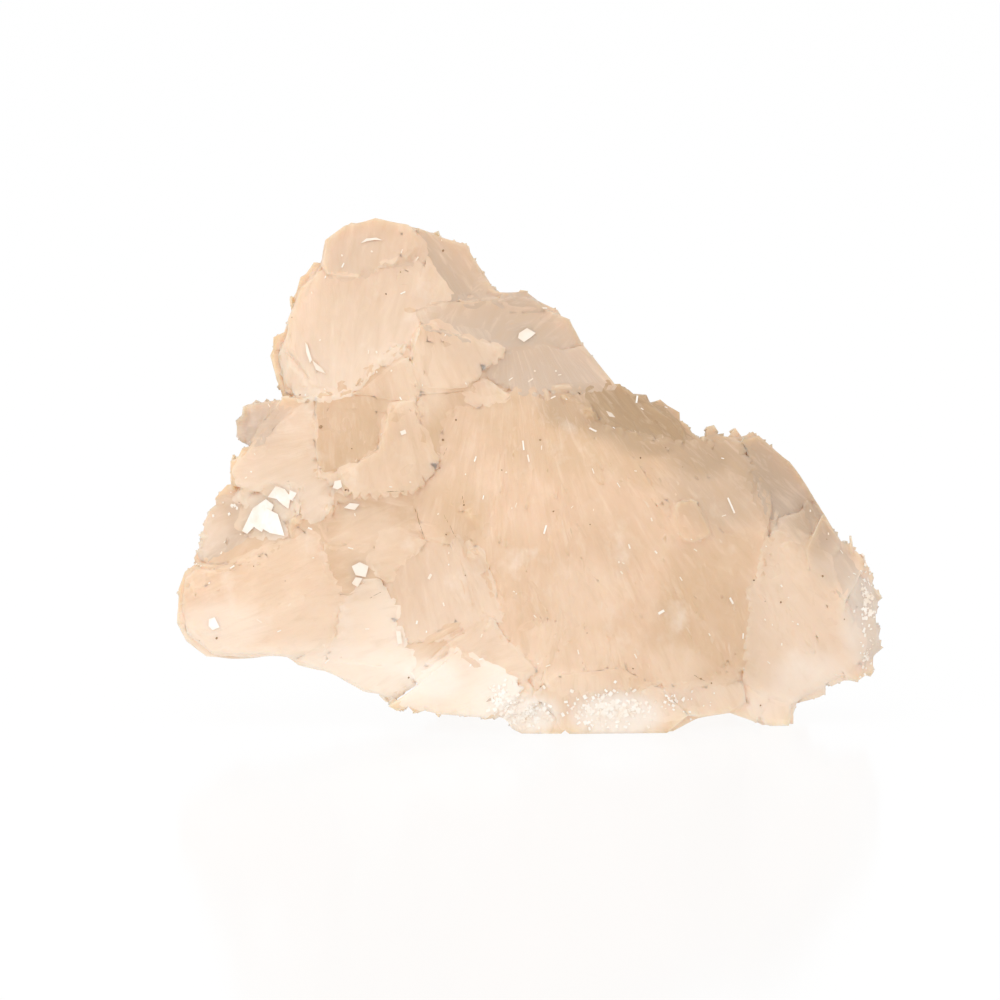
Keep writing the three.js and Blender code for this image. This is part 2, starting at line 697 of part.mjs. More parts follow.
// True if a corner can be drawn onto its neighbour: they share just two others, so that the
// surface stays closed, and no face that remains turns over or shrinks to nothing.
function canDrawOnto(corners, around, moved, onto) {
  const ring = (corner) => new Set([...around[corner]].flat().filter((other) => other !== corner));
  const shared = [...ring(moved)].filter((corner) => ring(onto).has(corner));
  if (shared.length !== 2) {
    return false;
  }
  return [...around[moved]].filter((face) => !face.includes(onto)).every((face) => {
    const before = facing(corners, face);
    const after = facing(corners, face, moved, onto);
    const thin = before.length() < SLIVER_AREA;
    return after.length() > SLIVER_AREA / 2 && (thin || before.angleTo(after) < STEEPEST_TURN);
  });
}

// Removes the short edges that the joining of leaning sheets leaves, by drawing one end of each
// onto the other.
function withoutShortEdges(corners, faces) {
  const around = corners.map(() => new Set());
  faces.forEach((face) => face.forEach((corner) => around[corner].add(face)));
  const kept = new Set(faces);
  for (const face of faces) {
    for (const [start, end] of [[0, 1], [1, 2], [2, 0]]) {
      const moved = face[start];
      const onto = face[end];
      const short = kept.has(face) && corners[moved].distanceTo(corners[onto]) < SHORT_EDGE;
      if (!short || !canDrawOnto(corners, around, moved, onto)) {
        continue;
      }
      for (const touched of [...around[moved]]) {
        if (touched.includes(onto)) {
          touched.forEach((corner) => around[corner].delete(touched));
          kept.delete(touched);
        } else {
          touched[touched.indexOf(moved)] = onto;
          around[onto].add(touched);
        }
      }
      around[moved].clear();
    }
  }
  return [...kept];
}

// Where the surface only touches itself at a corner, draws its two sides back into the calcite.
function partTouchingCorners(corners, faces) {
  const outward = new Map(faces.flat().map((corner) => [corner, new THREE.Vector3()]));
  for (const face of faces) {
    const direction = facing(corners, face);
    face.forEach((corner) => outward.get(corner).add(direction));
  }
  const places = new Map();
  for (const corner of outward.keys()) {
    const place = corners[corner].toArray().map((value) => value.toFixed(2)).join();
    places.set(place, [...(places.get(place) ?? []), corner]);
  }
  for (const touching of [...places.values()].filter((place) => place.length > 1)) {
    for (const corner of touching) {
      corners[corner].addScaledVector(outward.get(corner).normalize(), -TOUCH_GAP);
    }
  }
}

function geometryOf(solid) {
  const { vertProperties, triVerts } = solid.getMesh();
  const corners = [];
  for (let i = 0; i < vertProperties.length; i += 3) {
    corners.push(new THREE.Vector3().fromArray(vertProperties, i));
  }
  const all = [];
  for (let i = 0; i < triVerts.length; i += 3) {
    all.push([...triVerts.subarray(i, i + 3)]);
  }
  const faces = withoutShortEdges(corners, largestPiece(all, corners.length));
  partTouchingCorners(corners, faces);
  const geometry = new THREE.BufferGeometry();
  geometry.setFromPoints(faces.flat().map((corner) => corners[corner]));
  return mergeVertices(geometry, SAME_PLACE);
}

// The whole cluster, with its origin under the middle of its box.
function clusterGeometry(wasm) {
  const random = seededRandom(TOOTH_SEED);
  const sheets = [
    ...domeSheets(),
    ...upperRightSheets(),
    ...bladeSheets(),
    ...leftSheets(),
    ...frontMassSheets(),
    ...rightSheets(),
    ...frontEdgeSheets(),
    ...backSheets(),
    ...edgeSheets(),
  ];
  const parts = [
    ...heartBlocks().map(blockGeometry),
    ...sheets.flatMap((sheet) => sheetGeometries(sheet, random)),
  ];
  const grown = parts.map((part) => solidOf(wasm, part)).reduce((mass, solid) => mass.add(solid));
  const geometry = geometryOf(grown.subtract(solidOf(wasm, floorBlock())));
  geometry.computeBoundingBox();
  const middle = geometry.boundingBox.getCenter(new THREE.Vector3());
  geometry.translate(-middle.x, -middle.y, -geometry.boundingBox.min.z);
  geometry.computeVertexNormals();
  return geometry;
}

function calciteMaterial() {
  return new THREE.MeshStandardMaterial({
    name: 'honey_peach_calcite',
    color: HONEY_PEACH,
    roughness: WEATHERED_ROUGHNESS,
    metalness: 0,
    flatShading: true,
  });
}

const wasm = await Module();
wasm.setup();

const cluster = new THREE.Mesh(clusterGeometry(wasm), calciteMaterial());
cluster.name = 'calcite_cluster';

const group = new THREE.Group();
group.add(cluster);

export default group;
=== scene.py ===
"""A calcite cluster: plate-like, saw-edged crystals grown together in a translucent peach mass."""

import logging
import math
import random
from dataclasses import dataclass, field
from enum import Enum

import bmesh
import bpy
from mathutils import Matrix, Vector, noise
from mathutils.bvhtree import BVHTree


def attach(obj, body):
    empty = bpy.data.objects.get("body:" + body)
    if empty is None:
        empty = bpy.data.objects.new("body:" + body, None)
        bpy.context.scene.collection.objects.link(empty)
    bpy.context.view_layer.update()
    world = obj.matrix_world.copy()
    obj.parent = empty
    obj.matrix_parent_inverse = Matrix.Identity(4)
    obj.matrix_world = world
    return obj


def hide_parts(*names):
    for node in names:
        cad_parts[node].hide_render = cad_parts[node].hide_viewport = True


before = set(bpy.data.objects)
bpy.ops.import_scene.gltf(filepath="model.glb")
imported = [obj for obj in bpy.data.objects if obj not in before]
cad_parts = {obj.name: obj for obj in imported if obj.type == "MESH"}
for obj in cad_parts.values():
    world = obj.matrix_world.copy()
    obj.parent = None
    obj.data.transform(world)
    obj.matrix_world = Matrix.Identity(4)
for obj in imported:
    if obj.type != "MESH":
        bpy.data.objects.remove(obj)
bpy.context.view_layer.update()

log = logging.getLogger("calcite")

NODE = "calcite_cluster"
GROWTH = "growth"
MM = 0.001

# The display board: the upright plane, leaning back, on which the crystals' places are given.
DISPLAY_TILT = math.radians(7.0)
BOARD_ORIGIN = Vector((-0.38, -6.18, 0.0)) * MM
BOARD_ACROSS = Vector((1.0, 0.0, 0.0))
BOARD_UP = Vector((0.0, math.sin(DISPLAY_TILT), math.cos(DISPLAY_TILT)))
BOARD_OUT = BOARD_ACROSS.cross(BOARD_UP)
BOARD_TURN = Matrix((BOARD_ACROSS, BOARD_UP, BOARD_OUT)).transposed().to_4x4()
BOARD_MATRIX = Matrix.Translation(BOARD_ORIGIN) @ BOARD_TURN @ Matrix.Scale(MM, 4)


def on_board(u: float, v: float, w: float = 0.0) -> Vector:
    """Gives the point that lies at board millimetres u across, v up and w towards the viewer."""
    return BOARD_ORIGIN + (BOARD_ACROSS * u + BOARD_UP * v + BOARD_OUT * w) * MM


def board_place(point: Vector) -> tuple[float, float, float]:
    """Gives a point's board millimetres: across, up and towards the viewer."""
    offset = (point - BOARD_ORIGIN) / MM
    return offset.dot(BOARD_ACROSS), offset.dot(BOARD_UP), offset.dot(BOARD_OUT)


def smooth_step(low: float, high: float, value: float) -> float:
    """Rises smoothly from 0 at low to 1 at high."""
    share = min(1.0, max(0.0, (value - low) / (high - low)))
    return share * share * (3.0 - 2.0 * share)


class Character(Enum):
    """What colour a zone lays on the calcite, beside its usual peach; the greyer and dark brown zones are painted
    shade, and the pale ones are partly painted light.
    """

    HONEY = "honey"
    GREY_AND_SHADE = "grey_and_shade"
    PALE_AND_LIT = "pale"
    FROST = "frost"
    UMBER_SHADE = "umber_shade"


@dataclass(frozen=True)
class Zone:
    """A soft-edged oval on the display board where a colour is laid over the calcite, some of it painted light and
    shade.

    Args:
        kind: Which colour is laid there.
        u: Middle of the oval across the board, in mm.
        v: Middle of the oval up the board, in mm.
        reach_u: Half its width, in mm.
        reach_v: Half its height, in mm.
        amount: Strength in its middle, from 0 to 1.
    """

    kind: Character
    u: float
    v: float
    reach_u: float
    reach_v: float
    amount: float

    def share(self, u: float, v: float) -> float:
        """Gives the zone's strength at a place on the board."""
        away = math.hypot((u - self.u) / self.reach_u, (v - self.v) / self.reach_v)
        return self.amount * (1.0 - smooth_step(0.55, 1.15, away))


# The greyer and dark brown zones are painted shade on the faces that turn up and right, away from the light; the pale
# zones are partly painted light, strongest on the lower left.
ZONES = (
    # Painted shade: honey laid where the striated face turns away on its right.
    Zone(Character.HONEY, 36.0, 21.0, 12.0, 17.0, 0.42),
    Zone(Character.HONEY, 10.0, 56.0, 20.0, 9.0, 0.35),
    Zone(Character.HONEY, 38.0, 47.0, 12.0, 12.0, 0.45),
    Zone(Character.GREY_AND_SHADE, 40.0, 48.0, 14.0, 12.0, 0.4),
    Zone(Character.HONEY, 12.0, 32.0, 26.0, 20.0, 0.08),
    Zone(Character.GREY_AND_SHADE, 6.0, 77.0, 26.0, 14.0, 0.5),
    Zone(Character.GREY_AND_SHADE, 54.0, 50.0, 14.0, 14.0, 0.6),
    Zone(Character.GREY_AND_SHADE, -54.0, 60.0, 6.0, 6.0, 0.5),
    Zone(Character.PALE_AND_LIT, 8.0, 12.0, 14.0, 8.0, 0.3),
    Zone(Character.PALE_AND_LIT, -46.0, 15.0, 28.0, 12.0, 0.55),
    Zone(Character.PALE_AND_LIT, -30.0, 10.0, 16.0, 9.0, 0.5),
    Zone(Character.PALE_AND_LIT, 58.0, 22.0, 12.0, 20.0, 0.35),
    Zone(Character.PALE_AND_LIT, 34.0, 3.0, 20.0, 6.0, 0.6),
    Zone(Character.FROST, 67.0, 20.0, 5.0, 12.0, 0.35),
    Zone(Character.FROST, 0.0, 1.5, 7.5, 4.5, 0.75),
    Zone(Character.FROST, 18.0, 1.0, 10.0, 5.0, 0.75),
    Zone(Character.FROST, 48.0, 2.0, 6.0, 5.0, 0.25),
    Zone(Character.FROST, 57.0, 7.0, 10.0, 8.0, 0.35),
    Zone(Character.FROST, -22.0, 8.0, 9.0, 6.0, 0.3),
    Zone(Character.PALE_AND_LIT, 7.0, 4.0, 16.0, 8.0, 0.65),
    Zone(Character.PALE_AND_LIT, 30.0, 11.0, 7.0, 5.0, 0.35),
    Zone(Character.GREY_AND_SHADE, 56.0, 41.0, 5.5, 7.0, 0.9),
    Zone(Character.GREY_AND_SHADE, 61.0, 33.0, 5.0, 6.5, 0.85),
    Zone(Character.GREY_AND_SHADE, 67.0, 20.0, 4.5, 10.0, 0.55),
    Zone(Character.HONEY, -13.0, 41.0, 7.0, 9.0, 0.4),
    Zone(Character.HONEY, 24.0, 50.0, 8.0, 5.0, 0.4),
    Zone(Character.FROST, -46.0, 10.0, 26.0, 6.5, 0.35),
    Zone(Character.FROST, -19.0, 8.5, 7.0, 4.5, 0.6),
    Zone(Character.FROST, -62.0, 18.0, 11.0, 7.0, 0.3),
    Zone(Character.HONEY, -5.0, 61.0, 7.0, 6.0, 0.4),
    Zone(Character.HONEY, 41.0, 33.0, 6.0, 7.0, 0.4),
    Zone(Character.PALE_AND_LIT, -22.0, 68.0, 7.0, 10.0, 0.5),
    Zone(Character.PALE_AND_LIT, -1.0, 11.0, 7.0, 5.0, 0.5),
    Zone(Character.PALE_AND_LIT, -64.0, 38.0, 5.0, 5.0, 0.4),
    Zone(Character.PALE_AND_LIT, -32.0, 37.0, 7.0, 6.0, 0.4),
    Zone(Character.PALE_AND_LIT, 12.0, 26.0, 9.0, 8.0, 0.3),
    Zone(Character.UMBER_SHADE, 57.0, 39.0, 5.0, 8.0, 0.35),
    Zone(Character.UMBER_SHADE, 21.0, 61.0, 13.0, 6.5, 0.7),
    Zone(Character.UMBER_SHADE, 26.0, 56.5, 11.0, 4.5, 0.65),
    Zone(Character.UMBER_SHADE, 35.0, 54.0, 9.0, 6.0, 0.5),
    Zone(Character.UMBER_SHADE, 48.0, 52.0, 9.0, 8.0, 0.35),
    Zone(Character.UMBER_SHADE, 10.0, 62.0, 9.0, 5.0, 0.5),
)


WORN_RIMS = (
    Zone(Character.PALE_AND_LIT, -45.0, 14.0, 34.0, 16.0, 1.0),
    Zone(Character.PALE_AND_LIT, 26.0, 2.0, 26.0, 6.0, 1.0),
    Zone(Character.GREY_AND_SHADE, -28.0, 99.0, 13.0, 5.0, 1.0),
    Zone(Character.GREY_AND_SHADE, -37.0, 94.0, 17.0, 14.0, 1.0),
    Zone(Character.GREY_AND_SHADE, 22.0, 66.0, 13.0, 8.0, 1.0),
    Zone(Character.GREY_AND_SHADE, 55.0, 46.0, 9.0, 13.0, 1.0),
)


def rim_is_worn(u: float, v: float) -> bool:
    """Tells whether the rims at a place have lost their teeth."""
    return any(zone.share(u, v) > 0.5 for zone in WORN_RIMS)


def zone_shares(u: float, v: float) -> tuple[float, ...]:
    """Gives, for each character in turn, the strongest share of its zones at a place."""
    shares = dict.fromkeys(Character, 0.0)
    for zone in ZONES:
        shares[zone.kind] = max(shares[zone.kind], zone.share(u, v))
    return tuple(shares.values())


@dataclass(frozen=True)
class Fan:
    """A composite crystal whose growth lines spread from a pivot on the board.

    Args:
        u: Middle of the fan across the board, in mm.
        v: Middle of the fan up the board, in mm.
        pivot_u: The point that the lines spread from, across, in mm.
        pivot_v: The same, up.
        radius: Distance at which a turn is measured off in mm.
    """

    u: float
    v: float
    pivot_u: float
    pivot_v: float
    radius: float

    def grain(self, u: float, v: float) -> tuple[float, float]:
        """Gives a place's mm across the growth lines and along them."""
        du = u - self.pivot_u
        dv = v - self.pivot_v
        return math.atan2(du, -dv) * self.radius, math.hypot(du, dv)


FANS = (
    Fan(-33.0, 82.0, -40.0, 30.0, 50.0),
    Fan(0.0, 76.0, -60.0, 60.0, 60.0),
    Fan(-15.0, 72.0, -30.0, 110.0, 40.0),
    Fan(-32.0, 58.0, -40.0, 120.0, 60.0),
    Fan(-52.0, 50.0, -20.0, 60.0, 40.0),
    Fan(10.0, 50.0, -5.0, 88.0, 50.0),
    Fan(25.0, 25.0, -5.0, 88.0, 50.0),
    Fan(-8.0, 42.0, -5.0, 88.0, 50.0),
    Fan(42.0, 46.0, 0.0, 95.0, 70.0),
    Fan(56.0, 20.0, 30.0, 60.0, 50.0),
    Fan(-48.0, 20.0, -150.0, -10.0, 110.0),
    Fan(-30.0, 38.0, -100.0, 60.0, 80.0),
    Fan(-15.0, 27.0, -30.0, 80.0, 60.0),
    Fan(-12.0, 9.0, -60.0, -10.0, 50.0),
    Fan(15.0, 4.0, 10.0, 50.0, 50.0),
)


def fan_at(u: float, v: float) -> Fan:
    """Gives the fan whose middle is nearest."""
    return min(FANS, key=lambda fan: math.hypot(u - fan.u, v - fan.v))


class Tone(Enum):
    """Shares of honey, a greyer colour, pale, frost and a dark brown that a crystal face has throughout; the greyer
    and dark brown shares are painted shade, and the pale share is partly painted light.
    """

    PEACH = (0.0, 0.0, 0.0, 0.0, 0.0)
    ROSE = (0.05, 0.2, 0.45, 0.15, 0.0)
    AMBER = (0.3, 0.0, 0.0, 0.0, 0.0)
    HONEY = (0.5, 0.0, 0.0, 0.0, 0.0)
    # Honey with painted shade: the dark brown share darkens the ridge that faces up and right, away from the light.
    BROWN_AND_SHADE = (0.9, 0.1, 0.0, 0.0, 0.6)
    # Painted shade: greyer tones for the faces that turn away from the light.
    SMOKE_SHADE = (0.0, 0.9, 0.0, 0.0, 0.0)
    DOVE_SHADE = (0.0, 0.75, 0.1, 0.05, 0.0)
    MIST_SHADE = (0.0, 0.5, 0.25, 0.0, 0.0)
    SHELL = (0.0, 0.3, 0.4, 0.0, 0.0)
    # Partly painted light: a paler tone for the bright lower left wing.
    SAND_LIT = (0.0, 0.0, 0.3, 0.0, 0.0)
    CREAM = (0.0, 0.0, 0.45, 0.0, 0.0)
    # Partly painted light: ivory for the bright lower left wing.
    IVORY_LIT = (0.0, 0.0, 0.95, 0.3, 0.0)
    # Milky white; on the broad flakes it picks the white of painted glare.
    MILK_AND_GLARE = (0.0, 0.0, 0.8, 0.7, 0.0)


@dataclass(frozen=True)
class CrystalFace:
    """A thin crystal that lies over the front and ends in a rim of its own.

    Args:
        name: What it is called.
        tone: Its colour.
        outline: Its corners on the display board, clockwise, in mm.
        toothed: First and last corner of the rim's saw-toothed stretch.
        saw: Depth of the saw teeth, in mm.
        proud: How far its rim stands out of what is under it, in mm.
    """

    name: str
    tone: Tone
    outline: tuple[tuple[float, float], ...]
    toothed: tuple[int, int] = (0, 0)
    saw: float = 0.8
    proud: float = 0.2

    TOOTH_PITCH = 1.9
    LAP = 0.5
    CELL = 3.0
    DEPTH = 2.4
    FADE = 1.3
    GROWN_IN = 0.03

    def rim(self, chance: random.Random) -> list[tuple[float, float]]:
        """Gives the outline with its saw teeth and its lap over the neighbours.

        Args:
            chance: Source of the teeth's unevenness.

        Returns:
            The rim's points on the board, clockwise, in mm.
        """
        corners = [Vector(corner) for corner in self.outline]
        sides = [after - corner for corner, after in zip(corners, corners[1:] + corners[:1])]
        outward = [Vector((-side.y, side.x)).normalized() for side in sides]
        points = []
        for number, (corner, side, out) in enumerate(zip(corners, sides, outward)):
            sawn = self.toothed[0] <= number < self.toothed[1]
            steps = max(1, round(side.length / (self.TOOTH_PITCH if sawn else 3.5)))
            lean = chance.choice((0.3, 0.7))
            points.append(corner + (out + outward[number - 1]).normalized() * self.LAP)
            for step in range(steps):
                if step:
                    start = (step + chance.uniform(-0.15, 0.15)) / steps
                    points.append(corner + side * start + out * (self.LAP - chance.uniform(0.0, 0.25)))
                if sawn:
                    reach = self.LAP + self.saw * chance.uniform(0.35, 1.1)
                    points.append(corner + side * ((step + lean) / steps) + out * reach)
        return [tuple(point) for point in points]

    def add_to(self, bm: bmesh.types.BMesh, probe: "FrontProbe", chance: random.Random) -> None:
        """Adds the crystal to a mesh, lying on the surface that the probe finds.

        Args:
            bm: The mesh that takes it.
            probe: Tells how far out the surface is.
            chance: Source of the unevenness.
        """
        sheet = bmesh.new()
        sheet.faces.new([sheet.verts.new((u, v, 0.0)) for u, v in self.rim(chance)])
        low = [min(point[axis] for point in self.outline) for axis in (0, 1)]
        high = [max(point[axis] for point in self.outline) for axis in (0, 1)]
        for axis in (0, 1):
            for cut in range(int((high[axis] - low[axis]) / self.CELL)):
                place = [0.0, 0.0, 0.0]
                place[axis] = low[axis] + (cut + 0.5) * self.CELL
                normal = [float(axis == 0), float(axis == 1), 0.0]
                everything = [*sheet.verts, *sheet.edges, *sheet.faces]
                bmesh.ops.bisect_plane(sheet, geom=everything, dist=0.01, plane_co=place, plane_no=normal)
        found = [probe.depth(vert.co.x, vert.co.y) for vert in sheet.verts]
        known = sorted(depth for depth in found if depth is not None)
        usual = known[len(known) // 2]
        for vert, depth in zip(sheet.verts, found):
            vert.co.z = usual if depth is None else depth
        for _ in range(5):
            bmesh.ops.smooth_vert(sheet, verts=sheet.verts, factor=0.5, use_axis_z=True)
        for vert, depth in zip(sheet.verts, found):
            rise = self.GROWN_IN + (self.proud - self.GROWN_IN) * self.freedom(vert.co.x, vert.co.y)
            vert.co.z = max(vert.co.z, vert.co.z if depth is None else depth) + rise
        floors = {
            tuple(vert.co.xy): min(vert.co.z, usual if depth is None else depth)
            for vert, depth in zip(sheet.verts, found)
        }
        raised = bmesh.ops.extrude_face_region(sheet, geom=sheet.faces[:])["geom"]
        for item in raised:
            if isinstance(item, bmesh.types.BMVert):
                item.co.z = floors[tuple(item.co.xy)] - self.DEPTH - self.proud
        bmesh.ops.transform(sheet, matrix=BOARD_MATRIX, verts=sheet.verts)
        mesh = bpy.data.meshes.new(self.name)
        sheet.to_mesh(mesh)
        sheet.free()
        bm.from_mesh(mesh)
        bpy.data.meshes.remove(mesh)

    def freedom(self, u: float, v: float) -> float:
        """Gives a place's share of the way from the grown-in side to the free, toothed one."""
        first, last = self.toothed
        if first == last or last - first >= len(self.outline) - 1:
            return 1.0
        middle = sum((Vector(corner) for corner in self.outline), Vector((0.0, 0.0))) / len(self.outline)
        edge = self.outline[first : last + 1]
        towards = sum((Vector(corner) for corner in edge), Vector((0.0, 0.0))) / len(edge) - middle
        place = (Vector((u, v)) - middle).dot(towards.normalized())
        return smooth_step(-self.FADE * towards.length, self.FADE * towards.length, place)

    def holds(self, u: float, v: float) -> bool:
        """Tells whether a place on the board lies inside the outline."""
        inside = False
        u_before, v_before = self.outline[-1]
        for u_here, v_here in self.outline:
            if (v_here > v) != (v_before > v):
                inside ^= u < u_here + (v - v_here) * (u_before - u_here) / (v_before - v_here)
            u_before, v_before = u_here, v_here
        return inside


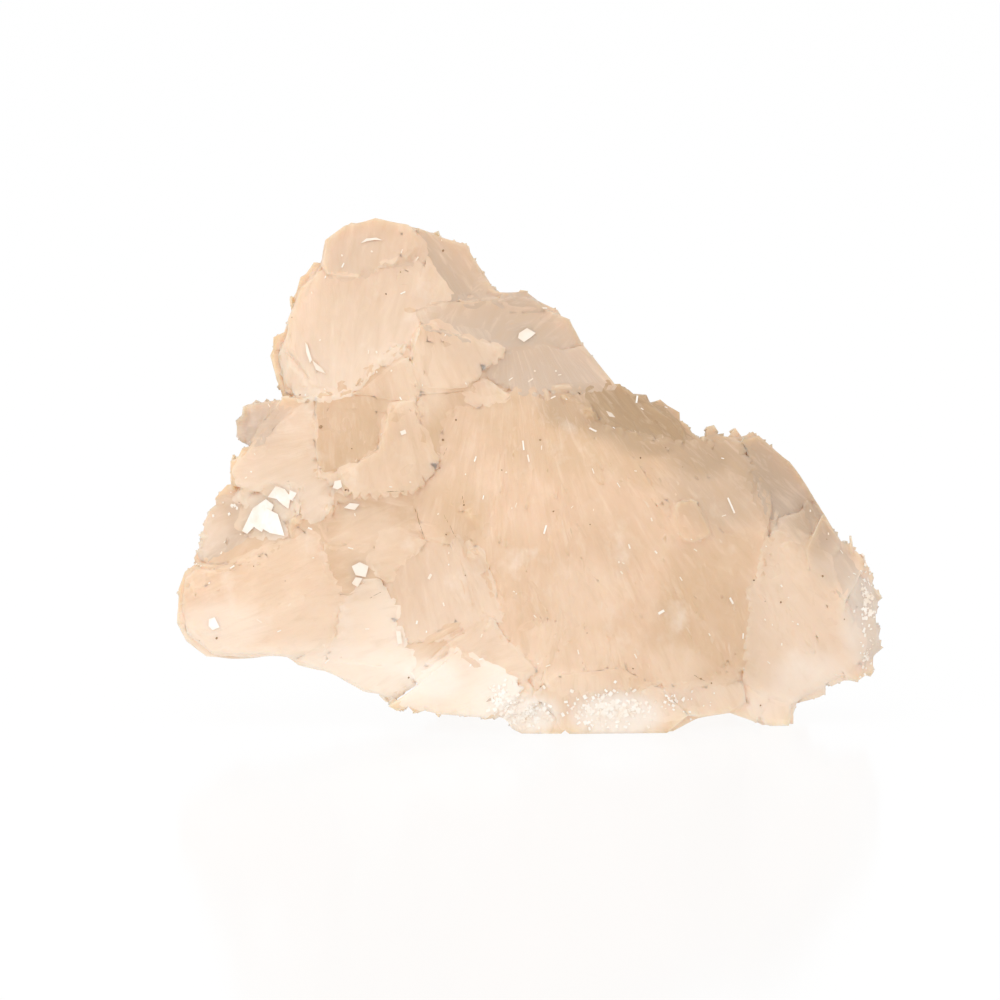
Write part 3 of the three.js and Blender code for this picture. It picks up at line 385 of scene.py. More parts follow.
CRYSTAL_FACES = (
    CrystalFace(
        "inner_plate",
        Tone.AMBER,
        (
            (-37.0, 67.0), (-31.0, 70.0), (-26.0, 76.0), (-24.0, 81.5), (-17.5, 81.0), (-11.5, 76.0), (-5.5, 74.0),
            (-4.0, 66.0), (-8.0, 62.5), (-14.0, 61.5), (-20.0, 50.0), (-24.0, 50.0), (-26.0, 61.5), (-37.0, 62.5),
        ),
        proud=0.08,
    ),
    CrystalFace(
        "honey_window",
        Tone.HONEY,
        (
            (-42.0, 64.5), (-36.5, 64.5), (-30.5, 64.0), (-31.0, 58.0), (-29.5, 53.0), (-36.5, 50.0),
            (-42.0, 50.0),
        ),
        toothed=(3, 5), saw=0.5, proud=0.09,
    ),
    CrystalFace(
        "narrow_plate",
        Tone.AMBER,
        (
            (-21.0, 64.0), (-17.5, 64.0), (-15.0, 61.0), (-16.5, 58.0), (-17.5, 52.5), (-20.0, 57.0),
            (-23.0, 62.0),
        ),
        toothed=(3, 5), saw=0.6, proud=0.26,
    ),
    CrystalFace(
        "red_wedge",
        Tone.AMBER,
        (
            (-56.0, 37.0), (-48.5, 36.5), (-45.0, 41.0), (-42.0, 40.0), (-39.5, 35.0), (-43.0, 37.0),
            (-45.5, 37.0), (-53.0, 34.0), (-62.0, 30.0), (-64.0, 32.0), (-61.0, 34.5),
        ),
        toothed=(3, 9), saw=0.5, proud=0.09,
    ),
    CrystalFace(
        "inner_step",
        Tone.AMBER,
        (
            (-40.0, 34.5), (-31.5, 34.5), (-28.5, 32.0), (-28.0, 28.0), (-33.0, 27.0), (-37.0, 24.5),
            (-40.0, 31.0),
        ),
        proud=0.09,
    ),
    CrystalFace(
        "middle_step",
        Tone.PEACH,
        (
            (-37.5, 46.5), (-31.5, 47.5), (-19.0, 50.0), (-20.5, 36.5), (-26.5, 38.0), (-31.5, 35.0),
            (-39.0, 35.0), (-41.5, 40.0),
        ),
        toothed=(2, 6), saw=0.7, proud=0.11,
    ),
    CrystalFace(
        "left_plate",
        Tone.ROSE,
        (
            (-54.0, 55.0), (-46.0, 61.5), (-42.5, 64.0), (-42.0, 50.0), (-38.5, 48.0), (-37.5, 46.0),
            (-41.5, 40.0), (-45.5, 41.0), (-46.0, 44.5), (-51.5, 47.5), (-56.0, 45.5), (-58.0, 50.0),
        ),
        toothed=(5, 11), saw=0.6,
    ),
    CrystalFace(
        "saw_corner",
        Tone.DOVE_SHADE,
        (
            (-61.0, 44.5), (-57.0, 44.0), (-57.0, 39.0), (-56.5, 37.0), (-61.0, 34.5), (-65.0, 32.5),
            (-64.5, 37.5), (-63.0, 41.5),
        ),
        toothed=(4, 8), proud=0.11,
    ),
    CrystalFace(
        "brown_wedge",
        Tone.HONEY,
        (
            (-24.5, 17.5), (-20.5, 16.0), (-15.0, 17.0), (-19.0, 13.0), (-22.0, 10.5), (-23.0, 12.0),
            (-24.5, 14.0),
        ),
        toothed=(3, 7), saw=0.5, proud=0.09,
    ),
    CrystalFace(
        "upper_rim",
        Tone.SMOKE_SHADE,
        (
            (-5.5, 84.0), (-4.5, 85.0), (1.0, 84.0), (3.0, 82.0), (-3.0, 82.0),
        ),
        proud=0.22,
    ),
    CrystalFace(
        "dome_shoulder",
        Tone.SMOKE_SHADE,
        (
            (-21.0, 95.0), (-21.5, 98.0), (-17.5, 96.0), (-12.0, 93.0), (-9.0, 88.0), (-6.0, 85.0),
            (-11.5, 83.5), (-16.0, 84.0), (-17.5, 87.5), (-20.0, 91.5),
        ),
        toothed=(7, 10), saw=0.5, proud=0.11,
    ),
    CrystalFace(
        "right_facet",
        Tone.SMOKE_SHADE,
        (
            (46.5, 56.0), (52.0, 51.5), (56.5, 45.0), (54.0, 42.0), (49.0, 41.0), (47.0, 46.0),
            (44.5, 53.0),
        ),
        toothed=(3, 6), saw=0.6, proud=0.11,
    ),
    CrystalFace(
        "right_strip",
        Tone.SMOKE_SHADE,
        (
            (56.0, 43.5), (60.5, 36.0), (65.5, 29.5), (69.0, 24.0), (69.0, 15.0), (66.0, 12.0), (64.0, 22.5),
            (60.0, 32.5), (55.0, 41.0),
        ),
        proud=0.22,
    ),
    # Its dark brown share is painted shade, as the ridge faces away from the light.
    CrystalFace(
        "shaded_brown_ridge",
        Tone.BROWN_AND_SHADE,
        (
            (12.0, 65.5), (17.5, 66.5), (24.5, 63.0), (30.0, 58.5), (31.0, 56.0), (26.5, 54.5),
            (22.5, 57.0), (18.5, 58.0), (15.0, 60.0),
        ),
        toothed=(0, 4), saw=0.5,
    ),
    CrystalFace(
        "arch",
        Tone.SHELL,
        (
            (15.0, 6.0), (24.5, 7.5), (42.5, 7.5), (43.0, 4.0), (39.5, 2.0), (34.5, 1.5), (26.5, 1.0),
            (19.0, 1.5),
        ),
    ),
    CrystalFace(
        "foot",
        Tone.CREAM,
        (
            (43.5, 7.5), (46.5, 5.5), (52.0, 3.0), (52.0, -1.5), (48.0, -0.5), (44.0, 4.0),
        ),
    ),
    CrystalFace(
        "central_face",
        Tone.PEACH,
        (
            (-16.0, 58.5), (-14.5, 61.5), (-10.5, 62.0), (-5.5, 64.0), (-1.5, 65.0), (6.5, 64.5),
            (12.5, 61.0), (15.0, 58.5), (18.5, 57.5), (23.5, 56.0), (32.5, 55.0), (43.0, 55.0),
            (44.0, 51.5), (43.5, 47.5), (46.0, 40.0), (48.0, 34.5), (46.0, 28.5), (44.0, 25.5),
            (45.0, 21.5), (44.0, 16.0), (43.0, 12.0), (41.0, 8.5), (34.5, 7.5), (24.5, 8.0),
            (14.5, 6.5), (6.5, 7.0), (1.0, 9.5), (-1.0, 13.5), (-5.0, 19.0), (-6.0, 24.0),
            (-9.0, 34.0), (-14.0, 36.0), (-20.0, 36.5), (-22.0, 43.5), (-17.0, 50.0),
        ),
        toothed=(0, 40), saw=0.7, proud=0.22,
    ),
    CrystalFace(
        "smooth_face",
        Tone.SHELL,
        (
            (-28.0, 24.5), (-28.0, 28.0), (-25.5, 32.0), (-23.0, 34.0), (-20.0, 36.0), (-14.5, 36.0),
            (-9.5, 33.5), (-7.0, 26.0), (-6.0, 20.0), (-14.5, 17.0), (-20.5, 16.0), (-24.5, 16.0),
            (-27.0, 20.5),
        ),
        toothed=(5, 13), saw=0.5, proud=0.22,
    ),
    CrystalFace(
        "small_plates",
        Tone.CREAM,
        (
            (-29.0, 37.0), (-26.5, 37.5), (-21.0, 36.0), (-23.5, 33.5), (-26.0, 32.0), (-28.0, 28.5),
            (-31.0, 32.0),
        ),
        toothed=(2, 6), saw=0.6, proud=0.22,
    ),
    CrystalFace(
        "spear",
        Tone.PEACH,
        (
            (-24.0, 72.0), (-22.0, 66.5), (-22.5, 64.0), (-26.5, 64.5), (-34.5, 65.0), (-31.0, 66.0),
            (-28.0, 69.0),
        ),
        proud=0.26,
    ),
    CrystalFace(
        "dome_face",
        Tone.ROSE,
        (
            (-45.5, 84.0), (-42.0, 89.5), (-35.5, 89.0), (-30.0, 91.0), (-25.5, 91.5), (-20.5, 91.5),
            (-17.5, 87.5), (-16.0, 84.0), (-22.0, 81.5), (-23.0, 77.0), (-25.0, 75.0), (-28.0, 71.5),
            (-30.0, 71.5), (-33.0, 67.0), (-36.5, 65.0), (-40.5, 65.0), (-45.5, 64.5), (-48.0, 68.0),
            (-48.5, 74.0), (-47.5, 79.5),
        ),
        toothed=(8, 16), saw=0.7, proud=0.26,
    ),
    CrystalFace(
        "dome_cap",
        Tone.MIST_SHADE,
        (
            (-41.0, 91.5), (-40.0, 96.0), (-36.5, 98.5), (-30.5, 100.0), (-24.0, 98.5), (-21.0, 95.0),
            (-20.5, 91.5), (-25.5, 91.5), (-30.0, 91.0), (-35.5, 89.0), (-39.5, 90.0),
        ),
        toothed=(7, 11), saw=0.5,
    ),
    CrystalFace(
        "upper_right",
        Tone.DOVE_SHADE,
        (
            (-21.5, 81.5), (-16.0, 83.0), (-6.0, 84.0), (-3.5, 81.5), (3.0, 82.0), (8.0, 79.5),
            (10.5, 75.0), (2.5, 74.0), (-4.5, 74.0), (-10.5, 76.0), (-15.5, 78.0), (-20.5, 78.5),
        ),
        toothed=(6, 11), saw=0.5, proud=0.11,
    ),
    CrystalFace(
        "right_shelf",
        Tone.DOVE_SHADE,
        (
            (-4.0, 73.5), (2.5, 74.0), (7.5, 73.0), (11.0, 74.0), (17.0, 67.0), (11.5, 66.0),
            (2.5, 65.5), (-1.5, 65.5), (-8.0, 69.0), (-7.0, 71.5),
        ),
        toothed=(4, 8), saw=0.5, proud=0.19,
    ),
    CrystalFace(
        "fan_tip",
        Tone.CREAM,
        (
            (-12.5, 66.5), (-8.0, 67.5), (-4.0, 64.5), (-10.5, 63.0),
        ),
        toothed=(2, 4), saw=0.6, proud=0.30,
    ),
    CrystalFace(
        "fan_plate",
        Tone.CREAM,
        (
            (-23.0, 75.0), (-22.0, 78.0), (-18.5, 79.0), (-10.5, 75.5), (-5.0, 74.0), (-7.5, 72.0),
            (-10.0, 71.5), (-10.0, 69.5), (-12.0, 68.5), (-13.0, 67.0), (-22.0, 67.0),
        ),
        toothed=(4, 9), saw=1.3, proud=0.38,
    ),
    CrystalFace(
        "saw_plate",
        Tone.CREAM,
        (
            (-22.5, 64.0), (-23.5, 61.5), (-20.5, 57.0), (-18.0, 52.0), (-20.0, 51.5), (-19.0, 50.0),
            (-21.5, 49.5), (-22.5, 47.0), (-25.5, 46.0), (-31.5, 46.0), (-36.5, 46.0), (-38.5, 48.5),
            (-36.5, 49.5), (-29.0, 53.0), (-28.5, 58.0), (-26.5, 63.0),
        ),
        toothed=(3, 11), saw=1.3, proud=0.38,
    ),
    CrystalFace(
        "right_wing",
        Tone.SHELL,
        (
            (48.0, 34.5), (50.5, 40.0), (54.5, 41.0), (59.5, 32.0), (63.5, 22.5), (67.0, 13.0),
            (58.5, 7.0), (52.5, 3.5), (46.5, 6.0), (43.5, 8.0), (44.5, 16.0), (45.5, 21.5),
            (44.5, 25.5), (46.5, 28.0),
        ),
        toothed=(9, 14), saw=0.6, proud=0.26,
    ),
    CrystalFace(
        "wing_heel",
        Tone.IVORY_LIT,
        (
            (-37.0, 24.0), (-33.5, 27.0), (-29.5, 28.0), (-27.5, 24.0), (-26.0, 21.5), (-27.5, 20.5),
            (-25.0, 16.5), (-25.0, 14.0), (-23.0, 12.0), (-24.0, 8.0), (-26.5, 5.0), (-33.5, 7.0),
            (-40.5, 10.5), (-45.0, 12.5), (-39.0, 16.0),
        ),
        toothed=(3, 10), saw=0.9, proud=0.26,
    ),
    CrystalFace(
        "left_wing",
        Tone.SAND_LIT,
        (
            (-68.0, 27.5), (-62.5, 29.5), (-53.0, 34.0), (-45.5, 36.5), (-43.0, 37.0), (-40.5, 31.0),
            (-37.5, 24.5), (-39.5, 16.5), (-45.5, 13.0), (-53.5, 14.0), (-62.5, 14.0), (-67.0, 17.5),
            (-68.5, 23.0),
        ),
        toothed=(4, 7), saw=0.6, proud=0.19,
    ),
    CrystalFace(
        "left_corner",
        Tone.DOVE_SHADE,
        (
            (-55.5, 63.0), (-49.5, 63.5), (-47.5, 62.0), (-51.5, 58.0), (-54.0, 55.5), (-57.0, 57.0),
            (-57.5, 59.0), (-56.5, 61.0),
        ),
        toothed=(3, 8), saw=0.6,
    ),
    CrystalFace(
        "glare_plate",
        Tone.ROSE,
        (
            (-56.0, 44.0), (-53.0, 45.0), (-52.0, 46.5), (-49.0, 46.5), (-46.5, 46.0), (-46.0, 44.0),
            (-47.5, 41.0), (-49.5, 40.0), (-48.5, 37.0), (-56.0, 37.5), (-57.0, 39.0),
        ),
        toothed=(3, 9), saw=0.7, proud=0.09,
    ),
    CrystalFace(
        "blade",
        Tone.SHELL,
        (
            (-20.0, 11.0), (-14.0, 16.0), (-7.0, 20.0), (-4.5, 16.0), (2.0, 10.0), (-2.0, 8.0),
            (-9.5, 12.0), (-14.0, 14.5),
        ),
        proud=0.45,
    ),
    CrystalFace(
        "white_rhomb",
        Tone.MILK_AND_GLARE,
        (
            (-25.0, 3.5), (-14.0, 14.0), (-10.0, 12.0), (-2.5, 8.0), (-2.0, 6.0), (-4.5, 4.0),
            (-9.5, 1.5), (-17.5, 2.0),
        ),
        toothed=(4, 6), saw=0.5, proud=0.83,
    ),
)


def face_number_at(u: float, v: float) -> int:
    """Gives one more than the place in the list of the front face at a place, or 0 outside all."""
    for number in range(len(CRYSTAL_FACES), 0, -1):
        if CRYSTAL_FACES[number - 1].holds(u, v):
            return number
    return 0


class FrontProbe:
    """Finds a piece's surface behind a place on the display board."""

    START = 60.0

    def __init__(self, piece: bpy.types.Object) -> None:
        """Takes the piece as it is now."""
        self.tree = BVHTree.FromObject(piece, bpy.context.evaluated_depsgraph_get())

    def touch(self, u: float, v: float) -> tuple[Vector | None, Vector | None]:
        """Gives the first point met from the front at a place, and the outward direction there."""
        point, normal, _, _ = self.tree.ray_cast(on_board(u, v, self.START), -BOARD_OUT)
        return point, normal

    def depth(self, u: float, v: float) -> float | None:
        """Gives how far out the surface is at a place, in mm, or None beside the piece."""
        point, _ = self.touch(u, v)
        return None if point is None else board_place(point)[2]


class Habit(Enum):
    """How a round crystal's body goes from its rim to its top: pairs of height and size shares."""

    LENS = ((0.72, 0.97), (0.93, 0.66), (1.0, 0.3))
    SCALE = ((0.86, 1.0), (1.0, 0.95))


@dataclass(frozen=True)
class RoundCrystal:
    """A flat round or long crystal with saw teeth on its rim.

    Args:
        radius: Half its width, in mm.
        thickness: Height of its middle over its buried foot, in mm.
        teeth: Number of saw teeth round the rim.
        stretch: Length beside width.
        habit: The form of its body.
        bite: Depth of the teeth beside the radius.
    """

    radius: float
    thickness: float
    teeth: int = 9
    stretch: float = 1.3
    habit: Habit = Habit.LENS
    bite: float = 0.1

    def add_to(self, bm: bmesh.types.BMesh, place: Matrix, chance: random.Random) -> None:
        """Adds the crystal to a mesh.

        Args:
            bm: The mesh that takes the crystal.
            place: Where it goes, with +Z out of its face and +X along its length.
            chance: Source of the teeth's unevenness.
        """
        size = self.radius * MM
        rim = bmesh.ops.create_circle(bm, cap_ends=True, segments=2 * self.teeth, radius=size)["verts"]
        for corner, vert in enumerate(rim):
            tooth = 1.0 + (self.bite if corner % 2 else -0.5 * self.bite) * (0.4 + chance.random())
            vert.co.x *= tooth * self.stretch
            vert.co.y *= tooth
        verts = list(rim)
        face = next(iter(rim[0].link_faces))
        share_below = 0.0
        for height, share in self.habit.value:
            raised = bmesh.ops.extrude_face_region(bm, geom=[face])["geom"]
            if share_below:
                bmesh.ops.delete(bm, geom=[face], context="FACES_ONLY")
            face = next(item for item in raised if isinstance(item, bmesh.types.BMFace))
            grown = share / (share_below or 1.0)
            share_below = share
            for vert in face.verts:
                vert.co = Vector((vert.co.x * grown, vert.co.y * grown, height * self.thickness * MM))
            verts.extend(face.verts)
        bmesh.ops.transform(bm, matrix=place, verts=verts)

    @property
    def reach(self) -> float:
        """Farthest that the crystal reaches from its middle, in metres."""
        return self.radius * self.stretch * (1.0 + 1.5 * self.bite) * MM


@dataclass(frozen=True)
class RhombCrystal:
    """A cleavage rhomb: a leaning block with three pairs of parallel faces.

    Args:
        length: Along its longer edge, in mm.
        width: Along its shorter edge, in mm.
        height: Through its face, in mm.
        skew: How far the long edge leans per mm of width.
    """

    length: float
    width: float
    height: float
    skew: float = 0.28

    def add_to(self, bm: bmesh.types.BMesh, place: Matrix) -> None:
        """Adds the crystal to a mesh at a place, with its top at the place and +Z out of it."""
        lean = Matrix.Shear("XY", 4, (self.skew, self.skew * 0.5))
        size = Matrix.Diagonal((self.length * MM, self.width * MM, self.height * MM, 1.0))
        sunk = Matrix.Translation((0.0, 0.0, -0.5 * self.height * MM))
        bmesh.ops.create_cube(bm, size=1.0, matrix=place @ sunk @ lean @ size)


@dataclass(frozen=True)
class RimTooth:
    """A small kite-shaped tooth that lies in a plate's plane and points out of its rim.

    Args:
        length: From its buried end to its tip, in mm.
        width: Across its shoulders, in mm.
        thickness: Through the plate, in mm.
    """

    length: float
    width: float
    thickness: float

    def add_to(self, bm: bmesh.types.BMesh, place: Matrix) -> None:
        """Adds the tooth to a mesh at a place, with +X out of the rim and +Z out of the plate."""
        corners = bmesh.ops.create_circle(bm, cap_ends=True, segments=4, radius=0.5 * MM)["verts"]
        size = Matrix.Diagonal((self.length, self.width, 1.0, 1.0))
        bmesh.ops.transform(bm, matrix=size, verts=corners)
        face = next(iter(corners[0].link_faces))
        raised = bmesh.ops.extrude_face_region(bm, geom=[face])["geom"]
        top = [item for item in raised if isinstance(item, bmesh.types.BMVert)]
        bmesh.ops.translate(bm, verts=top, vec=(0.0, 0.0, self.thickness * MM))
        bmesh.ops.transform(bm, matrix=place, verts=[*corners, *top])

    @property
    def reach(self) -> float:
        """Farthest that the tooth reaches from its middle, in metres."""
        return 0.55 * math.hypot(self.length, self.thickness) * MM


def frame_matrix(origin: Vector, out: Vector, along: Vector) -> Matrix:
    """Builds a place whose +Z is out and whose +X is as near as it can be to along.

    Args:
        origin: The place's origin.
        out: Its +Z direction.
        along: The direction that +X leans to.

    Returns:
        The place as a matrix.
    """
    z = out.normalized()
    x = (along - z * along.dot(z)).normalized()
    y = z.cross(x)
    return Matrix.Translation(origin) @ Matrix((x, y, z)).transposed().to_4x4()


class GrowingMass:
    """A solid that crystals are joined to, a batch of well-spaced ones at a time."""

    CLEARANCE = 0.15 * MM
    GROUND = 0.4
    BELOW = 0.001 * MM

    def __init__(self, host: bpy.types.Object) -> None:
        """Starts with a host object whose mesh is one closed solid."""
        self.host = host
        self.batches: list[bmesh.types.BMesh] = []
        self.places: list[list[tuple[Vector, float]]] = []

    def batch_for(self, middle: Vector, reach: float) -> bmesh.types.BMesh:
        """Finds the first batch in which a crystal touches no other.

        Args:
            middle: The crystal's middle.
            reach: Farthest that it reaches from there.

        Returns:
            The mesh that the crystal is added to.
        """
        for bm, places in zip(self.batches, self.places):
            if all((middle - other).length > reach + far + self.CLEARANCE for other, far in places):
                places.append((middle, reach))
                return bm
        bm = bmesh.new()
        bm.faces.layers.int.new(GROWTH)
        self.batches.append(bm)
        self.places.append([(middle, reach)])
        return bm

    @staticmethod
    def number(bm: bmesh.types.BMesh, first: int, number: int) -> None:
        """Writes a front face's number on the faces of a batch from the first on."""
        layer = bm.faces.layers.int[GROWTH]
        bm.faces.ensure_lookup_table()
        for face in bm.faces[first:]:
            face[layer] = number

    def join(self) -> None:
        """Joins every batch to the host, so that no inner wall is left."""
        for bm in self.batches:
            self._combine(bm, "UNION")
        self.batches = []
        self.places = []

    def level_foot(self) -> None:
        """Cuts off what reaches below the level foot."""
        bm = bmesh.new()
        middle = Matrix.Translation((0.0, 0.0, -self.BELOW - 0.5 * self.GROUND))
        bmesh.ops.create_cube(bm, size=self.GROUND, matrix=middle)
        self._combine(bm, "DIFFERENCE")

    def _combine(self, bm: bmesh.types.BMesh, operation: str) -> None:
        """Joins a mesh to the host or cuts it off, and frees it.

        Args:
            bm: The mesh.
            operation: The boolean modifier's name for what is done.
        """
        bmesh.ops.recalc_face_normals(bm, faces=bm.faces)
        mesh = bpy.data.meshes.new("batch")
        bm.to_mesh(mesh)
        bm.free()
        batch = bpy.data.objects.new("batch", mesh)
        bpy.context.scene.collection.objects.link(batch)
        step = self.host.modifiers.new("step", "BOOLEAN")
        step.operation = operation
        step.solver = "MANIFOLD"
        step.object = batch
        graph = bpy.context.evaluated_depsgraph_get()
        self.host.data = bpy.data.meshes.new_from_object(self.host.evaluated_get(graph))
        self.host.modifiers.clear()
        bpy.data.objects.remove(batch)


@dataclass
class Plate:
    """A stretch of the surface that is flat or gently domed: one crystal face.

    Args:
        area: Its area, in square metres.
        middle: Its area-weighted middle.
        normal: Its mean outward direction.
    """

    area: float = 0.0
    middle: Vector = field(default_factory=Vector)
    normal: Vector = field(default_factory=Vector)


@dataclass
class CalciteMass:
    """The whole grown-together mass, with its finer crystals.

    Args:
        lens_count: Round crystals tried on the walls and the ends.
        scale_count: Saw-edged scales tried on the broad sides.
        blade_count: Long low crystals tried on the striated face, along its growth lines.
        tooth_gap: Least distance between two rim teeth, in mm.
        longest_edge: Longest edge left once the faces are divided, in mm.
        soft_angle: Largest turn between two facets that is rounded off, in degrees.
        flat_angle: Largest turn between two facets of one crystal face, in degrees.
        crease_angle: Least turn that still shades as an edge, in degrees.
        own_tint_area: Least area of a crystal face with a tint of its own, in mm2.
        zones_behind: Strength of the zones on the back beside that on the front.
        pit_depth: Least depth of a pit that small crystals fill, in mm, on the front and on the back.
        overgrowth: How far a later growth has run into the joints, in rounds.
        crevices: Side, X, Z and radius of the crystals that have grown in crevices, in mm.
        seed: Start of the random draws.
    """

    lens_count: int = 420
    scale_count: int = 520
    blade_count: int = 330
    tooth_gap: float = 2.0
    longest_edge: float = 2.1
    soft_angle: float = 27.0
    flat_angle: float = 12.0
    crease_angle: float = 32.0
    own_tint_area: float = 9.0
    zones_behind: float = 0.35
    pit_depth: tuple[float, float] = (1.1, 2.4)
    overgrowth: int = 5
    crevices: tuple[tuple[float, float, float, float], ...] = (
        (-1.0, -19.0, 29.5, 5.0),
        (-1.0, -15.5, 45.5, 3.0),
        (-1.0, -10.0, 59.5, 2.6),
        (-1.0, 31.0, 27.5, 3.0),
        (1.0, -19.2, 52.4, 1.6),
        (1.0, 4.6, 1.6, 2.0),
    )
    seed: int = 4127

    BEHIND = 80.0
    SCALE_DEPTH = 2.6
    MIDDLE = Vector((0.0, 0.0, 50.0)) * MM
    SPREAD = 90.0 * MM
    CORE_STEP = 2.0
    CRUST = 2.2
    FRONT_TINT = 0.35

    def build(self) -> bpy.types.Object:
        """Builds the mass and returns its object."""
        piece = self._merged_copy()
        growing = GrowingMass(piece)
        for name, grow in (
            ("core", self._grow_core),
            ("rim teeth", self._grow_rim_teeth),
            ("crevice crystals", self._grow_in_crevices),
            ("lenses", self._grow_lenses),
            ("scales", self._grow_scales),
            ("front faces", self._grow_front_faces),
            ("pit crystals", self._grow_in_pits),
            ("blades", self._grow_blades),
        ):
            grow(growing, random.Random(f"{self.seed} {name}"))
            growing.join()
            log.info("%s joined: %d faces", name, len(piece.data.polygons))
        growing.level_foot()
        self._divide_and_mark(piece)
        self._weather(piece)
        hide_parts(NODE)
        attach(piece, "root")
        return piece

    def dress(self, piece: bpy.types.Object, finish: "CalciteFinish") -> None:
        """Gives the mass its finish, with smooth faces between sharp edges."""
        piece.data.materials.clear()
        piece.data.materials.append(finish.material())
        piece.data.shade_smooth()
        piece.data.set_sharp_from_angle(angle=math.radians(self.crease_angle))

    @staticmethod
    def _merged_copy() -> bpy.types.Object:
        """Copies the node's mesh and joins its loose corners."""
        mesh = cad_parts[NODE].data.copy()
        bm = bmesh.new()
        bm.from_mesh(mesh)
        bmesh.ops.remove_doubles(bm, verts=bm.verts, dist=0.002 * MM)
        bm.to_mesh(mesh)
        bm.free()
        piece = bpy.data.objects.new("calcite_mass", mesh)
        bpy.context.scene.collection.objects.link(piece)
        return piece

    def _surface_places(self, tree: BVHTree, chance: random.Random, count: int) -> list[tuple[Vector, Vector]]:
        """Picks places spread evenly over a surface, as far as it shows from any side.

        Args:
            tree: The surface.
            chance: Source of the picks.
            count: How many places.

        Returns:
            Pairs of a point and the outward direction there.
        """
        places: list[tuple[Vector, Vector]] = []
        while len(places) < count:
            out = Vector([chance.gauss(0.0, 1.0) for _ in range(3)]).normalized()
            aside = Matrix.Rotation(chance.uniform(0.0, math.tau), 3, out) @ out.orthogonal().normalized()
            start = self.MIDDLE + (out * 1.5 + aside * math.sqrt(chance.random())) * self.SPREAD
            point, normal, _, _ = tree.ray_cast(start, -out)
            if point is not None:
                places.append((point, normal))
        return places

    @staticmethod
    def _has_footing(tree: BVHTree, point: Vector, normal: Vector, reach: float) -> bool:
        """Tells whether the surface goes on, level enough, a reach away on most sides."""
        place = frame_matrix(point, normal, normal.orthogonal())
        found = 0
        for turn in range(6):
            angle = math.tau * turn / 6
            edge = place @ Vector((math.cos(angle) * reach, math.sin(angle) * reach, 2.0 * MM))
            found += tree.ray_cast(edge, -normal, 4.0 * MM)[0] is not None
        return found >= 5

    def _grow_core(self, growing: GrowingMass, chance: random.Random) -> None:
        """Fills the hollows deep between the plates with a core that keeps inside the crust."""
        tree = BVHTree.FromObject(growing.host, bpy.context.evaluated_depsgraph_get())
        spans = {}
        for column in range(-36, 37):
            for row in range(52):
                u, v = column * self.CORE_STEP, row * self.CORE_STEP
                front = tree.ray_cast(on_board(u, v, self.BEHIND), -BOARD_OUT)[0]
                back = tree.ray_cast(on_board(u, v, -self.BEHIND), BOARD_OUT)[0]
                if front is not None and back is not None:
                    spans[column, row] = (board_place(back)[2], board_place(front)[2])
        reach = range(-2, 3)
        core = {}
        for column, row in spans:
            near = [spans.get((column + a, row + b)) for a in reach for b in reach]
            if None in near:
                continue
            low = max(back for back, _ in near) + self.CRUST
            high = min(front for _, front in near) - self.CRUST
            if high - low > self.CRUST:
                core[column, row] = (low, high)
        bm = growing.batch_for(Vector(), 0.0)
        ends = [
            {
                cell: bm.verts.new(on_board(cell[0] * self.CORE_STEP, cell[1] * self.CORE_STEP, span[end]))
                for cell, span in core.items()
            }
            for end in (0, 1)
        ]
        squares = self._one_stretch_a_row(core)
        for column, row in sorted(squares):
            corners = [(column, row), (column + 1, row), (column + 1, row + 1), (column, row + 1)]
            for end in ends:
                bm.faces.new([end[corner] for corner in corners])
            for turn, beside in enumerate(((0, -1), (1, 0), (0, 1), (-1, 0))):
                if (column + beside[0], row + beside[1]) not in squares:
                    first, last = corners[turn], corners[(turn + 1) % 4]
                    bm.faces.new([ends[0][first], ends[0][last], ends[1][last], ends[1][first]])
        loose = [vert for vert in bm.verts if not vert.link_faces]
        bmesh.ops.delete(bm, geom=loose, context="VERTS")

    @staticmethod
    def _one_stretch_a_row(core: dict[tuple[int, int], tuple[float, float]]) -> set[tuple[int, int]]:
        """Picks the squares of a grid whose corners all lie in the core, the longest stretch in each row.

        Args:
            core: The grid's places that lie in the core.

        Returns:
            The lower left corners of the squares.
        """
        rows: dict[int, set[int]] = {}
        for row in range(52):
            stretches: list[list[int]] = [[]]
            for column in range(-36, 37):
                if all((column + a, row + b) in core for a in (0, 1) for b in (0, 1)):
                    stretches[-1].append(column)
                elif stretches[-1]:
                    stretches.append([])
            rows[row] = set(max(stretches, key=len))
        widest = max(rows, key=lambda row: len(rows[row]))
        squares: set[tuple[int, int]] = set()
        for way in (1, -1):
            before, row = rows[widest], widest
            while len(before & rows.get(row, set())) > 1:
                before = rows[row]
                squares.update((column, row) for column in before)
                row += way
        return squares

    def _grow_in_crevices(self, growing: GrowingMass, chance: random.Random) -> None:
        """Grows a round crystal in each wide crevice, level with what is round it."""
        tree = BVHTree.FromObject(growing.host, bpy.context.evaluated_depsgraph_get())
        for side, x, z, radius in self.crevices:
            inward = Vector((0.0, side, 0.0))
            middle = Vector((x, -side * self.BEHIND, z)) * MM
            depths = []
            for step in range(8):
                angle = math.tau * step / 8
                ring = Vector((math.cos(angle), 0.0, math.sin(angle))) * (radius * MM)
                point = tree.ray_cast(middle + ring, inward)[0]
                if point is not None:
                    depths.append(point.y)
            level = sorted(depths)[len(depths) // 2]
            crystal = RoundCrystal(1.25 * radius, 6.0, 12, 1.15, Habit.SCALE, 0.06)
            foot = Vector((x * MM, level + side * 6.0 * MM, z * MM))
            bm = growing.batch_for(foot, crystal.reach)
            crystal.add_to(bm, frame_matrix(foot, -inward, Vector((1.0, 0.0, 0.4))), chance)

